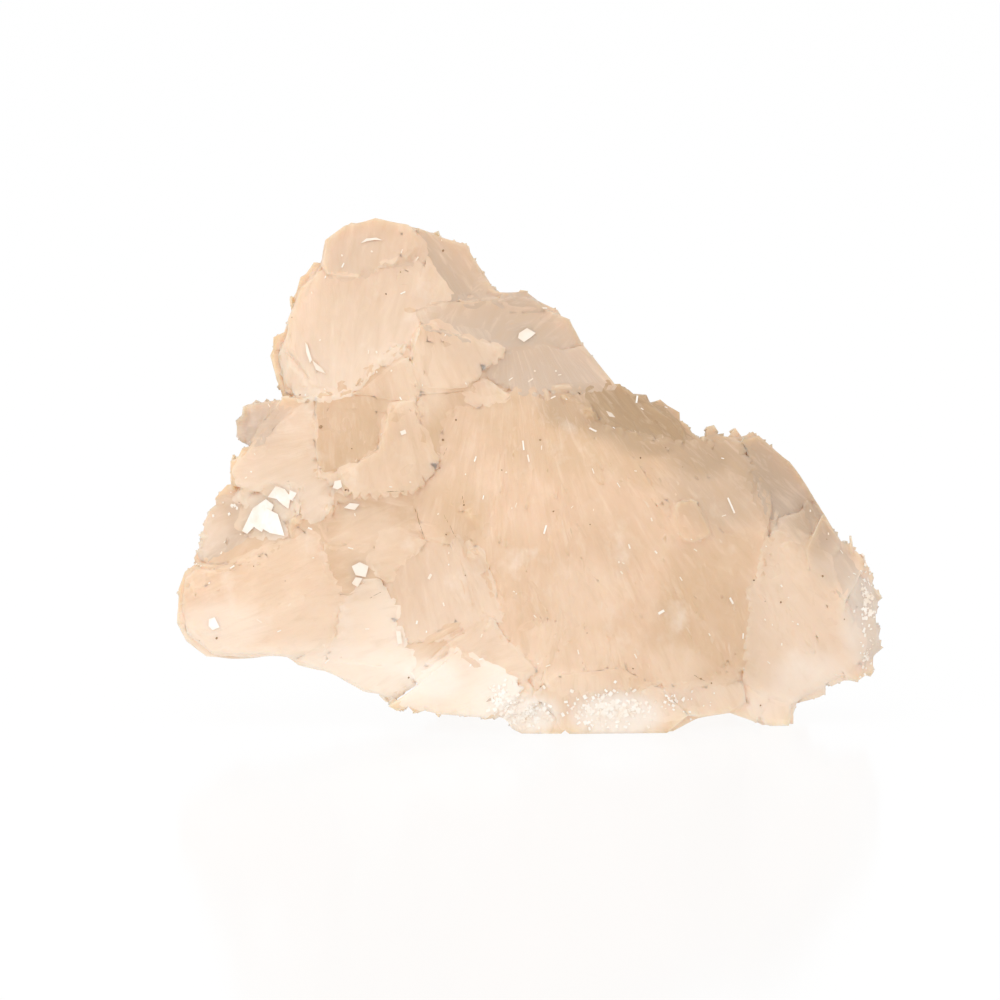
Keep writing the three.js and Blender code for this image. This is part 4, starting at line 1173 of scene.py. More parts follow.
    def _grow_in_pits(self, growing: GrowingMass, chance: random.Random) -> None:
        """Grows small round crystals in the narrow pits of the front and the back."""
        tree = BVHTree.FromObject(growing.host, bpy.context.evaluated_depsgraph_get())
        numbers = growing.host.data.attributes[GROWTH].data
        reach = range(-2, 3)
        disc = [(a, b) for a in reach for b in reach if a * a + b * b < 6]
        for side, pit_depth in zip((1.0, -1.0), self.pit_depth):
            heights = {}
            met = {}
            for u in range(-72, 73):
                for v in range(1, 102):
                    point, _, index, _ = tree.ray_cast(on_board(u, v, side * self.BEHIND), BOARD_OUT * -side)
                    if point is not None:
                        heights[u, v] = side * board_place(point)[2]
                        met[u, v] = numbers[index].value if side > 0.0 else 0
            level = {(u, v): max(heights.get((u + a, v + b), -99.0) for a, b in disc) for u, v in heights}
            filled: list[tuple[int, int]] = []
            for (u, v), height in heights.items():
                brim = min(level.get((u + a, v + b), -99.0) for a, b in disc)
                near = any(math.hypot(u - other_u, v - other_v) < 1.9 for other_u, other_v in filled)
                if brim - height < pit_depth or near:
                    continue
                filled.append((u, v))
                crystal = RoundCrystal(chance.uniform(1.5, 2.1), 4.0, 6, chance.uniform(1.0, 1.3), Habit.SCALE, 0.08)
                top = brim - chance.uniform(0.25, 0.5)
                foot = on_board(u, v, side * (top - 4.0))
                bm = growing.batch_for(foot, crystal.reach + 4.0 * MM)
                first = len(bm.faces)
                crystal.add_to(bm, frame_matrix(foot, BOARD_OUT * side, self._growth_at(foot)), chance)
                beside = max(((u + a, v + b) for a, b in disc), key=lambda cell: heights.get(cell, -99.0))
                growing.number(bm, first, met[beside])
            log.info("%d pits on side %+d", len(filled), side)

    @staticmethod
    def _lies_level(
        tree: BVHTree, point: Vector, normal: Vector, along: Vector, half_length: float, slack: float = 0.25
    ) -> bool:
        """Tells whether the surface is level with a point at both ends of a long crystal.

        Args:
            tree: The surface.
            point: The crystal's middle.
            normal: The outward direction there.
            along: The crystal's direction.
            half_length: How far its ends are from its middle, in metres.
            slack: How far off level the surface may be at an end, in mm.

        Returns:
            Whether it is level at both.
        """
        reach = (along - normal * along.dot(normal)).normalized() * half_length
        for end in (point + reach, point - reach):
            touched = tree.ray_cast(end + normal * (2.0 * MM), -normal, 4.0 * MM)[0]
            if touched is None or abs((touched - end).dot(normal)) > slack * MM:
                return False
        return True

    def _grow_lenses(self, growing: GrowingMass, chance: random.Random) -> None:
        """Grows round crystals on the walls and the ends."""
        tree = BVHTree.FromObject(growing.host, bpy.context.evaluated_depsgraph_get())
        for point, normal in self._surface_places(tree, chance, self.lens_count):
            radius = 1.4 + 2.4 * chance.random() ** 1.8
            thickness = 0.5 + 0.07 * radius
            tilt = Vector([chance.uniform(-0.05, 0.05) for _ in range(3)])
            along = Vector([chance.uniform(-1.0, 1.0) for _ in range(3)])
            broad_side = abs(normal.dot(BOARD_OUT)) > 0.6
            hidden = broad_side or point.z < 4.0 * MM or abs(normal.z) > 0.5
            if hidden or rim_is_worn(*board_place(point)[:2]):
                continue
            if not self._has_footing(tree, point, normal, radius * 0.8 * MM):
                continue
            crystal = RoundCrystal(radius, thickness, 6 + int(radius * 1.5), 1.1 + 0.5 * chance.random())
            foot = point - normal * (thickness * 0.55 * MM)
            bm = growing.batch_for(foot, crystal.reach)
            crystal.add_to(bm, frame_matrix(foot, normal + tilt, along), chance)

    def _grow_scales(self, growing: GrowingMass, chance: random.Random) -> None:
        """Grows low saw-edged scales over the back, each rising a little towards its tip."""
        tree = BVHTree.FromObject(growing.host, bpy.context.evaluated_depsgraph_get())
        for point, normal in self._surface_places(tree, chance, self.scale_count):
            radius = 1.8 + 4.4 * chance.random() ** 1.5
            stretch = chance.uniform(1.2, 2.1)
            proud = chance.uniform(0.05, 0.22)
            turn = chance.gauss(0.0, 0.45)
            rise = math.radians(chance.uniform(0.5, 2.5))
            if normal.dot(BOARD_OUT) > -0.6 or point.z < 3.0 * MM:
                continue
            if not self._has_footing(tree, point, normal, radius * 0.9 * MM):
                continue
            growth = self._growth_at(point)
            growth.rotate(Matrix.Rotation(turn, 3, BOARD_OUT))
            aside = growth.cross(normal)
            if not self._lies_level(tree, point, normal, growth, 1.05 * radius * stretch * MM, 1.6):
                continue
            if not self._lies_level(tree, point, normal, aside, 1.15 * radius * MM, 1.6):
                continue
            depth = self.SCALE_DEPTH
            crystal = RoundCrystal(radius, depth, 6 + int(radius * 2.2), stretch, Habit.SCALE, 0.08)
            top = frame_matrix(point + normal * (proud * MM), normal, growth)
            tipped = top @ Matrix.Rotation(-rise, 4, "Y") @ Matrix.Translation((0.0, 0.0, -depth * MM))
            bm = growing.batch_for(point, crystal.reach + depth * MM)
            crystal.add_to(bm, tipped, chance)

    @staticmethod
    def _grow_front_faces(growing: GrowingMass, chance: random.Random) -> None:
        """Lays the named crystal faces over the front, each one joined before the next."""
        for number, face in enumerate(CRYSTAL_FACES, 1):
            bm = growing.batch_for(Vector(), 0.0)
            face.add_to(bm, FrontProbe(growing.host), chance)
            growing.number(bm, 0, number)
            growing.join()

    @staticmethod
    def _growth_at(point: Vector) -> Vector:
        """Gives the direction in which the crystals at a place have grown."""
        u, v, w = board_place(point)
        if w < -9.0:
            return BOARD_ACROSS * (u - 5.0) + BOARD_UP * (v - 60.0)
        fan = fan_at(u, v)
        return on_board(u, v) - on_board(fan.pivot_u, fan.pivot_v)

    def _grow_blades(self, growing: GrowingMass, chance: random.Random) -> None:
        """Grows long low crystals on the striated face, along its growth lines."""
        tree = BVHTree.FromObject(growing.host, bpy.context.evaluated_depsgraph_get())
        for point, normal in self._surface_places(tree, chance, 6 * self.blade_count):
            u, v, _ = board_place(point)
            striated = math.hypot((u - 15.0) / 31.0, (v - 34.0) / 30.0) < 1.0
            half_width = chance.uniform(0.5, 1.3)
            length = chance.uniform(3.0, 9.0)
            proud = chance.uniform(0.06, 0.2)
            turn = chance.gauss(0.0, 0.08)
            kept = chance.random() < (1.0 if striated else 0.12)
            if not kept or normal.dot(BOARD_OUT) < 0.75 or point.z < 3.0 * MM:
                continue
            if not self._has_footing(tree, point, normal, half_width * 1.6 * MM):
                continue
            growth = self._growth_at(point)
            growth.rotate(Matrix.Rotation(turn, 3, BOARD_OUT))
            if not self._lies_level(tree, point, normal, growth, 0.8 * length * MM):
                continue
            crystal = RoundCrystal(half_width, 1.1, 6, length / half_width, Habit.LENS)
            foot = point - normal * ((1.1 - proud) * MM)
            bm = growing.batch_for(foot, crystal.reach)
            first = len(bm.faces)
            crystal.add_to(bm, frame_matrix(foot, normal, growth), chance)
            growing.number(bm, first, face_number_at(u, v))

    def _grow_rim_teeth(self, growing: GrowingMass, chance: random.Random) -> None:
        """Grows small teeth out of the rims of the plates."""
        bm = bmesh.new()
        bm.from_mesh(growing.host.data)
        taken: dict[tuple[int, int, int], list[Vector]] = {}
        gap = self.tooth_gap * MM
        for edge in bm.edges:
            if len(edge.link_faces) != 2 or edge.calc_face_angle_signed(0.0) < math.radians(48.0):
                continue
            plate = max(edge.link_faces, key=lambda face: abs(face.normal.dot(BOARD_OUT)))
            start, end = (vert.co for vert in edge.verts)
            steps = max(1, round(edge.calc_length() / (0.8 * gap)))
            for step in range(steps):
                point = start.lerp(end, (step + chance.random()) / steps)
                cell = tuple(int(value // gap) for value in point)
                if point.z < 1.5 * MM or self._is_crowded(taken, cell, point, gap):
                    continue
                taken.setdefault(cell, []).append(point)
                self._add_tooth(growing, chance, point, plate, end - start)
        bm.free()

    @staticmethod
    def _is_crowded(taken: dict, cell: tuple[int, int, int], point: Vector, gap: float) -> bool:
        """Tells whether a tooth already stands nearer than the gap."""
        steps = (-1, 0, 1)
        cells = [(cell[0] + i, cell[1] + j, cell[2] + k) for i in steps for j in steps for k in steps]
        return any((point - other).length < gap for near in cells for other in taken.get(near, ()))

    @staticmethod
    def _add_tooth(
        growing: GrowingMass, chance: random.Random, point: Vector, plate: bmesh.types.BMFace, rim: Vector
    ) -> None:
        """Adds one tooth at a point of a plate's rim.

        Args:
            growing: The mass that takes the tooth.
            chance: Source of its size.
            point: Where the rim is.
            plate: The face whose rim it is.
            rim: Direction along the rim.
        """
        if rim_is_worn(*board_place(point)[:2]):
            return
        normal = plate.normal
        outward = rim.cross(normal).normalized()
        if outward.dot(plate.calc_center_median() - point) > 0.0:
            outward = -outward
        outward = outward + rim.normalized() * chance.uniform(-0.3, 0.3)
        tooth = RimTooth(chance.uniform(2.0, 3.2), chance.uniform(1.4, 2.4), chance.uniform(0.8, 1.8))
        buried = tooth.length * (0.5 - chance.uniform(0.1, 0.2))
        top = chance.uniform(-0.12, -0.03)
        foot = point - outward.normalized() * (buried * MM) + normal * ((top - tooth.thickness) * MM)
        bm = growing.batch_for(foot, tooth.reach)
        tooth.add_to(bm, frame_matrix(foot, normal, outward))

    def _divide_and_mark(self, piece: bpy.types.Object) -> None:
        """Divides the long faces and marks each face with its plate's tint, zones and grain."""
        bm = bmesh.new()
        bm.from_mesh(piece.data)
        self._keep_outer_shell(bm)
        bm.faces.layers.int.get(GROWTH) or bm.faces.layers.int.new(GROWTH)
        plate_layer = bm.faces.layers.int.new("plate")
        plates = self._plates(bm, plate_layer)
        log.info("%d crystal faces", len(plates))
        bmesh.ops.triangulate(bm, faces=bm.faces)
        self._drop_doubled(bm)
        for _ in range(7):
            long_edges = [edge for edge in bm.edges if edge.calc_length() > self.longest_edge * MM]
            if not long_edges:
                break
            bmesh.ops.subdivide_edges(bm, edges=long_edges, cuts=1)
            bmesh.ops.triangulate(bm, faces=[face for face in bm.faces if len(face.verts) > 3])
            self._drop_doubled(bm)
        self._fill_joints(bm)
        self._round_off(bm)
        self._mark(bm, plate_layer, plates)
        bm.to_mesh(piece.data)
        bm.free()
        log.info("divided: %d triangles", len(piece.data.polygons))

    @staticmethod
    def _keep_outer_shell(bm: bmesh.types.BMesh) -> None:
        """Takes away closed hollows and loose crumbs, so that the mass is solid all through."""
        shells: list[list[bmesh.types.BMFace]] = []
        seen: set[int] = set()
        bm.faces.index_update()
        for first in bm.faces:
            if first.index in seen:
                continue
            seen.add(first.index)
            shell = [first]
            for face in shell:
                for other in (other for edge in face.edges for other in edge.link_faces):
                    if other.index not in seen:
                        seen.add(other.index)
                        shell.append(other)
            shells.append(shell)
        outer = max(shells, key=len)
        inner = [face for shell in shells if shell is not outer for face in shell]
        bmesh.ops.delete(bm, geom=inner, context="FACES")
        log.info("%d inner shells and crumbs taken away", len(shells) - 1)

    @staticmethod
    def _drop_doubled(bm: bmesh.types.BMesh) -> None:
        """Takes away pairs of faces that lie back to back on the same corners."""
        crowded = {face for edge in bm.edges if len(edge.link_faces) > 2 for face in edge.link_faces}
        alike: dict[frozenset, list[bmesh.types.BMFace]] = {}
        for face in crowded:
            alike.setdefault(frozenset(face.verts), []).append(face)
        doubled = [face for faces in alike.values() for face in faces[: len(faces) - len(faces) % 2]]
        bmesh.ops.delete(bm, geom=doubled, context="FACES")

    def _fill_joints(self, bm: bmesh.types.BMesh) -> None:
        """Rounds out the hollow lines between the front's crystals, as if a later growth had run in."""
        for _ in range(self.overgrowth):
            bm.normal_update()
            hollows = []
            for vert in bm.verts:
                around = sum((edge.other_vert(vert).co for edge in vert.link_edges), Vector()) / len(vert.link_edges)
                in_front = vert.co.z > 0.4 * MM and vert.normal.dot(BOARD_OUT) > 0.15
                if in_front and (around - vert.co).dot(vert.normal) > 0.015 * MM:
                    hollows.append(vert)
            bmesh.ops.smooth_vert(bm, verts=hollows, factor=0.6, use_axis_x=True, use_axis_y=True, use_axis_z=True)

    def _round_off(self, bm: bmesh.types.BMesh) -> None:
        """Rounds the soft turns between facets, and leaves the crystals' edges and the foot."""
        soft = math.radians(self.soft_angle)
        verts = [
            vert
            for vert in bm.verts
            if vert.co.z > 0.2 * MM and all(edge.calc_face_angle(math.pi) < soft for edge in vert.link_edges)
        ]
        for _ in range(8):
            bmesh.ops.smooth_vert(bm, verts=verts, factor=0.5, use_axis_x=True, use_axis_y=True, use_axis_z=True)

    def _plates(self, bm: bmesh.types.BMesh, layer: bmesh.types.BMLayerItem) -> list[Plate]:
        """Numbers the facets by the crystal face that they belong to.

        Args:
            bm: The mesh.
            layer: The face layer that takes the numbers.

        Returns:
            The crystal faces, in the order of their numbers.
        """
        plates: list[Plate] = []
        flat = math.radians(self.flat_angle)
        seen: set[int] = set()
        bm.faces.index_update()
        for first in bm.faces:
            if first.index in seen:
                continue
            seen.add(first.index)
            plate = Plate()
            waiting = [first]
            while waiting:
                face = waiting.pop()
                face[layer] = len(plates)
                area = max(face.calc_area(), 1e-12)
                plate.area += area
                plate.middle += face.calc_center_median() * area
                plate.normal += face.normal * area
                for edge in face.edges:
                    for other in edge.link_faces:
                        if other.index not in seen and other.normal.angle(face.normal, 9.0) < flat:
                            seen.add(other.index)
                            waiting.append(other)
            plate.middle /= plate.area
            plate.normal.normalize()
            plates.append(plate)
        return plates

    def _mark(self, bm: bmesh.types.BMesh, layer: bmesh.types.BMLayerItem, plates: list[Plate]) -> None:
        """Writes each face's tint and zone shares, and its grain as a UV map.

        Args:
            bm: The divided mesh.
            layer: The face layer with the plates' numbers.
            plates: The crystal faces.
        """
        tints = [noise.cell(plate.middle / MM) for plate in plates]
        turns = [noise.cell(plate.middle / MM + Vector((0.0, 0.0, 200.0))) - 0.5 for plate in plates]
        fans = [fan_at(*board_place(plate.middle)[:2]) for plate in plates]
        tint = bm.loops.layers.float_color.new("tint")
        tones = bm.loops.layers.float_color.new("tones")
        grain = bm.loops.layers.uv.new("grain")
        growth = bm.faces.layers.int[GROWTH]
        bm.verts.index_update()
        spots = [board_place(vert.co) for vert in bm.verts]
        fronts = [self.zones_behind + (1.0 - self.zones_behind) * smooth_step(-18.0, -6.0, w) for _, _, w in spots]
        zones = [tuple(here * front for here in zone_shares(u, v)) for (u, v, _), front in zip(spots, fronts)]
        for face in bm.faces:
            number = face[layer]
            plate = plates[number]
            own = tints[number] if plate.area > self.own_tint_area * MM**2 else 0.5
            steep = abs(plate.normal.dot(BOARD_OUT)) < 0.55
            grown = face[growth]
            if not grown and face.normal.dot(BOARD_OUT) > -0.4:
                grown = face_number_at(*board_place(face.verts[0].co - face.normal * (2.0 * MM))[:2])
            crystal = CRYSTAL_FACES[grown - 1] if grown else None
            tone = crystal.tone.value if crystal else Tone.PEACH.value
            if crystal:
                own = 0.5 + self.FRONT_TINT * (own - 0.5)
            for loop in face.loops:
                index = loop.vert.index
                u, v, w = spots[index]
                clear = 0.45 + 0.55 * crystal.freedom(u, v) if crystal else 1.0
                # These shares carry painted shade in the greyer and dark brown colours, and partly painted light in
                # the pale one.
                *shares, umber_shade = (
                    whole * clear + (1.0 - whole * clear) * here for whole, here in zip(tone, zones[index])
                )
                loop[tint] = (own, turns[number] + 0.5, umber_shade, 1.0)
                loop[tones] = shares
                loop[grain].uv = (w, u + v) if steep else fans[number].grain(u, v)
                loop[grain].uv.x += 37.0 * turns[number]

    def _weather(self, piece: bpy.types.Object) -> None:
        """Bends the flat faces a little and roughens them, down to the level foot."""
        for vert in piece.data.vertices:
            point = vert.co.copy()
            height = smooth_step(0.0, 5.0, point.z / MM)
            broad = noise.noise_vector(point * 55.0) * 0.6
            middle = noise.noise_vector(point * 190.0 + Vector((3.1, 7.7, 1.3))) * 0.22
            fine = noise.noise_vector(point * 700.0 + Vector((9.2, 2.4, 5.8))) * 0.06
            vert.co = point + (broad + middle + fine) * (MM * height)


@dataclass(frozen=True)
class SugarPatch:
    """A place where small white rhombs have grown.

    Args:
        u: Middle across the board, in mm.
        v: Middle up the board, in mm.
        reach_u: Half its width, in mm.
        reach_v: Half its height, in mm.
        count: How many rhombs are tried.
        size: Usual length of a rhomb, in mm.
    """

    u: float
    v: float
    reach_u: float
    reach_v: float
    count: int
    size: float


@dataclass
class SugarCrystals:
    """The white sugary crystals along the foot and the right rim, as one mesh.

    Args:
        patches: Where they have grown.
        seed: Start of the random draws.
    """

    patches: tuple[SugarPatch, ...] = (
        SugarPatch(-0.5, 1.2, 7.0, 3.6, 150, 0.75),
        SugarPatch(-4.6, 4.8, 4.0, 3.6, 60, 0.75),
        SugarPatch(16.0, 2.6, 10.0, 5.0, 210, 0.7),
        SugarPatch(19.0, 2.0, 5.0, 3.0, 40, 1.0),
        SugarPatch(68.0, 24.0, 2.8, 12.0, 110, 0.6),
        SugarPatch(68.0, 13.0, 2.2, 6.0, 30, 0.6),
        SugarPatch(-66.0, 31.0, 4.0, 1.4, 10, 0.5),
        SugarPatch(-59.0, 43.0, 3.0, 3.0, 10, 0.5),
        SugarPatch(30.0, 4.0, 9.0, 3.0, 36, 0.5),
    )
    seed: int = 977

    def build(self, probe: FrontProbe) -> bpy.types.Object:
        """Builds the crystals on the surface that the probe finds, and returns their object."""
        chance = random.Random(self.seed)
        bm = bmesh.new()
        for patch in self.patches:
            for _ in range(patch.count):
                turn = chance.uniform(0.0, math.tau)
                away = abs(chance.gauss(0.0, 0.5))
                u = patch.u + patch.reach_u * away * math.cos(turn)
                v = patch.v + patch.reach_v * away * math.sin(turn)
                size = patch.size * chance.uniform(0.5, 1.3)
                tilt = Vector([chance.uniform(-0.35, 0.35) for _ in range(3)])
                spin = Vector([chance.uniform(-1.0, 1.0) for _ in range(3)])
                proud = chance.uniform(0.02, 0.2) * size
                point, normal = probe.touch(u, v)
                if point is None or point.z < 1.2 * size * MM:
                    continue
                rhomb = RhombCrystal(size, size * chance.uniform(0.5, 0.9), size * chance.uniform(0.6, 0.9))
                rhomb.add_to(bm, frame_matrix(point + normal * (proud * MM), normal + tilt, spin))
        return place_piece("sugar_crystals", bm)

    def dress(self, piece: bpy.types.Object, finish: "FrostFinish") -> None:
        """Gives the crystals their finish."""
        piece.data.materials.append(finish.material("white_sugar"))


@dataclass(frozen=True)
class GlintFlake:
    """A painted glint: a white flake where light catches a broken face.

    Args:
        u: Middle across the board, in mm.
        v: Middle up the board, in mm.
        length: Its length, in mm.
        width: Its width, in mm.
        turn: Its length's direction from across, in degrees.
    """

    u: float
    v: float
    length: float
    width: float
    turn: float = 0.0


class GlarePane(CrystalFace):
    """A broad painted patch of glare: a white flake with an outline of its own, hardly proud of the face that it lies
    in.
    """

    LAP = 0.0
    DEPTH = 0.8
    GROWN_IN = 0.04


@dataclass
class HighlightFlakes:
    """The painted highlights: white flakes where light catches broken faces, as one mesh.

    Args:
        panes: The broad ones.
        flakes: The narrow ones with a place of their own.
        glint_count: Tiny ones strewn over the front.
        proud: How far they stand out, in mm.
        seed: Start of the random draws.
        finished_faces: How many faces have their finish so far.
    """

    panes: tuple[GlarePane, ...] = (
        GlarePane(
            "glare_body",
            Tone.MILK_AND_GLARE,
            (
                (-57.0, 37.8), (-54.8, 42.4), (-52.2, 44.2), (-50.6, 43.0), (-51.8, 40.0), (-53.0, 37.6),
                (-54.6, 38.6), (-56.0, 37.2),
            ),
        ),
        GlarePane("glare_foot", Tone.MILK_AND_GLARE, ((-53.4, 38.6), (-52.2, 42.4), (-49.8, 41.2), (-48.4, 36.8), (-51.4, 37.4))),
        GlarePane(
            "glare_head",
            Tone.MILK_AND_GLARE,
            ((-51.8, 44.6), (-50.2, 46.8), (-48.4, 46.2), (-47.2, 44.6), (-47.6, 42.2), (-48.8, 43.0), (-50.0, 44.2)),
        ),
        GlarePane("glare_tip", Tone.MILK_AND_GLARE, ((-47.4, 46.0), (-46.0, 45.4), (-46.8, 43.8), (-47.6, 44.2))),
        GlarePane("left_square", Tone.CREAM, ((-38.8, 46.4), (-38.4, 47.8), (-37.2, 48.0), (-36.9, 46.6), (-37.8, 46.1))),
        GlarePane("left_sliver", Tone.CREAM, ((-36.6, 42.4), (-35.4, 43.4), (-33.4, 43.2), (-34.4, 42.0))),
        GlarePane("joint_top", Tone.CREAM, ((-35.0, 30.8), (-33.4, 31.6), (-31.6, 30.8), (-32.2, 28.6), (-34.2, 29.0))),
        GlarePane("joint_foot", Tone.CREAM, ((-34.2, 28.6), (-32.8, 28.4), (-33.8, 26.6), (-35.0, 27.4))),
        GlarePane("wing_square", Tone.MILK_AND_GLARE, ((-63.6, 20.2), (-62.4, 20.6), (-61.4, 18.6), (-62.8, 18.0), (-63.6, 18.8))),
        GlarePane("heel_sliver", Tone.CREAM, ((-26.2, 18.0), (-25.2, 17.8), (-24.8, 15.4), (-25.8, 15.2))),
        GlarePane(
            "upper_flake",
            Tone.CREAM,
            ((-1.6, 77.4), (0.0, 78.4), (1.8, 77.4), (0.6, 76.4), (-0.6, 75.6), (-1.8, 76.4)),
        ),
        GlarePane("dome_streak", Tone.CREAM, ((-44.4, 75.6), (-43.9, 75.0), (-43.0, 72.0), (-43.4, 71.4), (-44.2, 73.6))),
        GlarePane("dome_sliver", Tone.CREAM, ((-43.0, 72.0), (-41.0, 70.4), (-40.2, 69.2), (-42.2, 70.0))),
        GlarePane(
            "dome_arc",
            Tone.CREAM,
            ((-33.4, 95.4), (-32.2, 96.4), (-30.2, 96.6), (-28.8, 96.0), (-30.6, 96.1), (-32.2, 95.8)),
        ),
    )
    flakes: tuple[GlintFlake, ...] = (
        GlintFlake(40.6, 43.0, 3.4, 0.35, -70.0),
        GlintFlake(26.6, 21.6, 1.3, 0.5, 30.0),
        GlintFlake(40.6, 24.0, 1.4, 0.4, -60.0),
        GlintFlake(3.6, 38.0, 1.8, 0.35, 75.0),
        GlintFlake(13.0, 58.0, 1.6, 0.35, -30.0),
        GlintFlake(-0.8, 55.0, 2.0, 0.3, -80.0),
        GlintFlake(0.2, 52.4, 1.6, 0.3, -75.0),
        GlintFlake(-24.8, 57.4, 1.1, 0.8, 20.0),
        GlintFlake(-19.4, 28.6, 1.1, 0.5, 60.0),
        GlintFlake(18.0, 69.4, 1.5, 0.3, -70.0),
        GlintFlake(22.0, 64.0, 1.6, 0.35, 80.0),
    )
    glint_count: int = 170
    proud: float = 0.06
    seed: int = 3301
    finished_faces: int = 0

    THICKNESS = 0.7
    SKEW = 0.35

    def build(self, probe: FrontProbe) -> bpy.types.Object:
        """Builds the flakes on the surface that the probe finds, and returns their object."""
        chance = random.Random(self.seed)
        bm = bmesh.new()
        for pane in self.panes:
            pane.add_to(bm, probe, chance)
            self._soften(bm, pane.tone is Tone.CREAM)
        for flake in (*self.flakes, *self._glints(chance)):
            point, normal = probe.touch(flake.u, flake.v)
            if point is None or normal.dot(BOARD_OUT) < 0.3:
                continue
            along = BOARD_ACROSS.copy()
            along.rotate(Matrix.Rotation(math.radians(flake.turn), 3, BOARD_OUT))
            rhomb = RhombCrystal(flake.length, flake.width, self.THICKNESS, self.SKEW)
            rhomb.add_to(bm, frame_matrix(point + normal * (self.proud * MM), normal, along))
            self._soften(bm, flake.length < 1.2 and chance.random() < 0.6)
        return place_piece("highlight_flakes", bm)

    def _soften(self, bm: bmesh.types.BMesh, soft: bool) -> None:
        """Gives the faces added last the softer or the whiter finish.

        Args:
            bm: The mesh.
            soft: Whether they take the softer one.
        """
        bm.faces.ensure_lookup_table()
        for number in range(self.finished_faces, len(bm.faces)):
            bm.faces[number].material_index = int(soft)
        self.finished_faces = len(bm.faces)

    def _glints(self, chance: random.Random) -> list[GlintFlake]:
        """Strews tiny flakes over the front, as painted glints."""
        glints = []
        for _ in range(self.glint_count):
            length = 0.3 + 0.9 * chance.random() ** 2
            width = chance.uniform(0.14, 0.34)
            u = chance.uniform(-68.0, 68.0)
            v = chance.uniform(4.0, 99.0)
            fan = fan_at(u, v)
            growth = math.degrees(math.atan2(v - fan.pivot_v, u - fan.pivot_u))
            glints.append(GlintFlake(u, v, length, width, growth + chance.gauss(0.0, 30.0)))
        return glints

    def dress(self, piece: bpy.types.Object, finish: "FrostFinish", soft: "FrostFinish") -> None:
        """Gives the flakes their two finishes."""
        # The white and cream of the painted highlights.
        piece.data.materials.append(finish.material("white_glint"))
        piece.data.materials.append(soft.material("cream_glint"))


@dataclass
class EarthyGrains:
    """The dark grains on the faces and the dark lines of hairline cracks, as one mesh.

    Args:
        grains: Board places and widths of the grains, in mm.
        cracks: Board places that each crack runs through, in mm.
        strewn: Tiny grains strewn over the front.
        seed: Start of the random draws.
    """

    grains: tuple[tuple[float, float, float], ...] = (
        (-41.2, 58.6, 0.9),
        (-16.8, 94.0, 0.5),
        (-23.4, 72.0, 0.5),
        (-16.8, 56.0, 0.6),
        (-14.2, 60.0, 0.5),
        (-12.6, 43.0, 0.4),
        (2.6, 56.0, 0.5),
        (22.6, 52.4, 0.4),
        (34.6, 8.4, 0.5),
        (45.2, 28.0, 0.4),
        (50.6, 23.6, 0.4),
        (59.0, 28.8, 0.5),
        (-62.0, 16.4, 0.5),
        (-23.6, 8.6, 0.4),
        (46.6, 3.0, 0.4),
        (3.6, 0.8, 0.5),
        (-45.4, 65.0, 0.4),
        (-36.2, 46.0, 0.4),
    )
    cracks: tuple[tuple[tuple[float, float], ...], ...] = (
        ((-15.6, 55.4), (-16.6, 53.0)),
        ((-22.4, 42.4), (-21.4, 39.0), (-20.4, 36.2)),
        ((-16.8, 41.6), (-15.4, 38.8), (-14.2, 36.4)),
        ((-13.0, 46.4), (-12.6, 43.2)),
        ((-28.0, 45.7), (-24.4, 45.8)),
        ((32.6, 9.4), (35.4, 8.0)),
        ((-31.4, 24.4), (-29.0, 25.6)),
    )
    strewn: int = 34
    seed: int = 611

    SLIVER_PITCH = 0.8

    def build(self, probe: FrontProbe) -> bpy.types.Object:
        """Builds the grains on the surface that the probe finds, and returns their object."""
        chance = random.Random(self.seed)
        bm = bmesh.new()
        strewn = [
            (chance.uniform(-66.0, 66.0), chance.uniform(5.0, 97.0), chance.uniform(0.2, 0.36))
            for _ in range(self.strewn)
        ]
        for u, v, width in (*self.grains, *strewn):
            along = Vector([chance.uniform(-1.0, 1.0) for _ in range(3)])
            self._add_grain(bm, probe, (u, v), (width * chance.uniform(0.7, 1.5), width), along)
        for crack in self.cracks:
            for start, end in zip(crack, crack[1:]):
                self._add_hairline(bm, probe, chance, Vector(start), Vector(end))
        return place_piece("earthy_grains", bm)

    def _add_hairline(
        self, bm: bmesh.types.BMesh, probe: FrontProbe, chance: random.Random, start: Vector, end: Vector
    ) -> None:
        """Adds a broken line of thin slivers between two places on the board.

        Args:
            bm: The mesh that takes them.
            probe: Finds the surface.
            chance: Source of their forms and gaps.
            start: Where the line starts, in mm.
            end: Where it ends, in mm.
        """
        along = BOARD_ACROSS * (end - start).x + BOARD_UP * (end - start).y
        steps = max(1, round((end - start).length / self.SLIVER_PITCH))
        for step in range(steps):
            place = start.lerp(end, (step + 0.5) / steps) + Vector([chance.uniform(-0.12, 0.12) for _ in range(2)])
            size = (chance.uniform(0.6, 1.6), chance.uniform(0.05, 0.11))
            if chance.random() < 0.75:
                self._add_grain(bm, probe, tuple(place), size, along)

    @staticmethod
    def _add_grain(
        bm: bmesh.types.BMesh, probe: FrontProbe, place: tuple[float, float], size: tuple[float, float], along: Vector
    ) -> None:
        """Adds one flattened grain on the surface.

        Args:
            bm: The mesh that takes it.
            probe: Finds the surface.
            place: Where it lies on the board, in mm.
            size: Its length and width, in mm.
            along: Its length's direction.
        """
        point, normal = probe.touch(*place)
        if point is None:
            return
        length, width = size
        form = Matrix.Diagonal((length * MM, width * MM, 0.4 * width * MM, 1.0))
        bmesh.ops.create_icosphere(bm, subdivisions=1, radius=0.5, matrix=frame_matrix(point, normal, along) @ form)

    def dress(self, piece: bpy.types.Object, finish: "EarthFinish") -> None:
        """Gives the grains their finish."""
        piece.data.materials.append(finish.material())


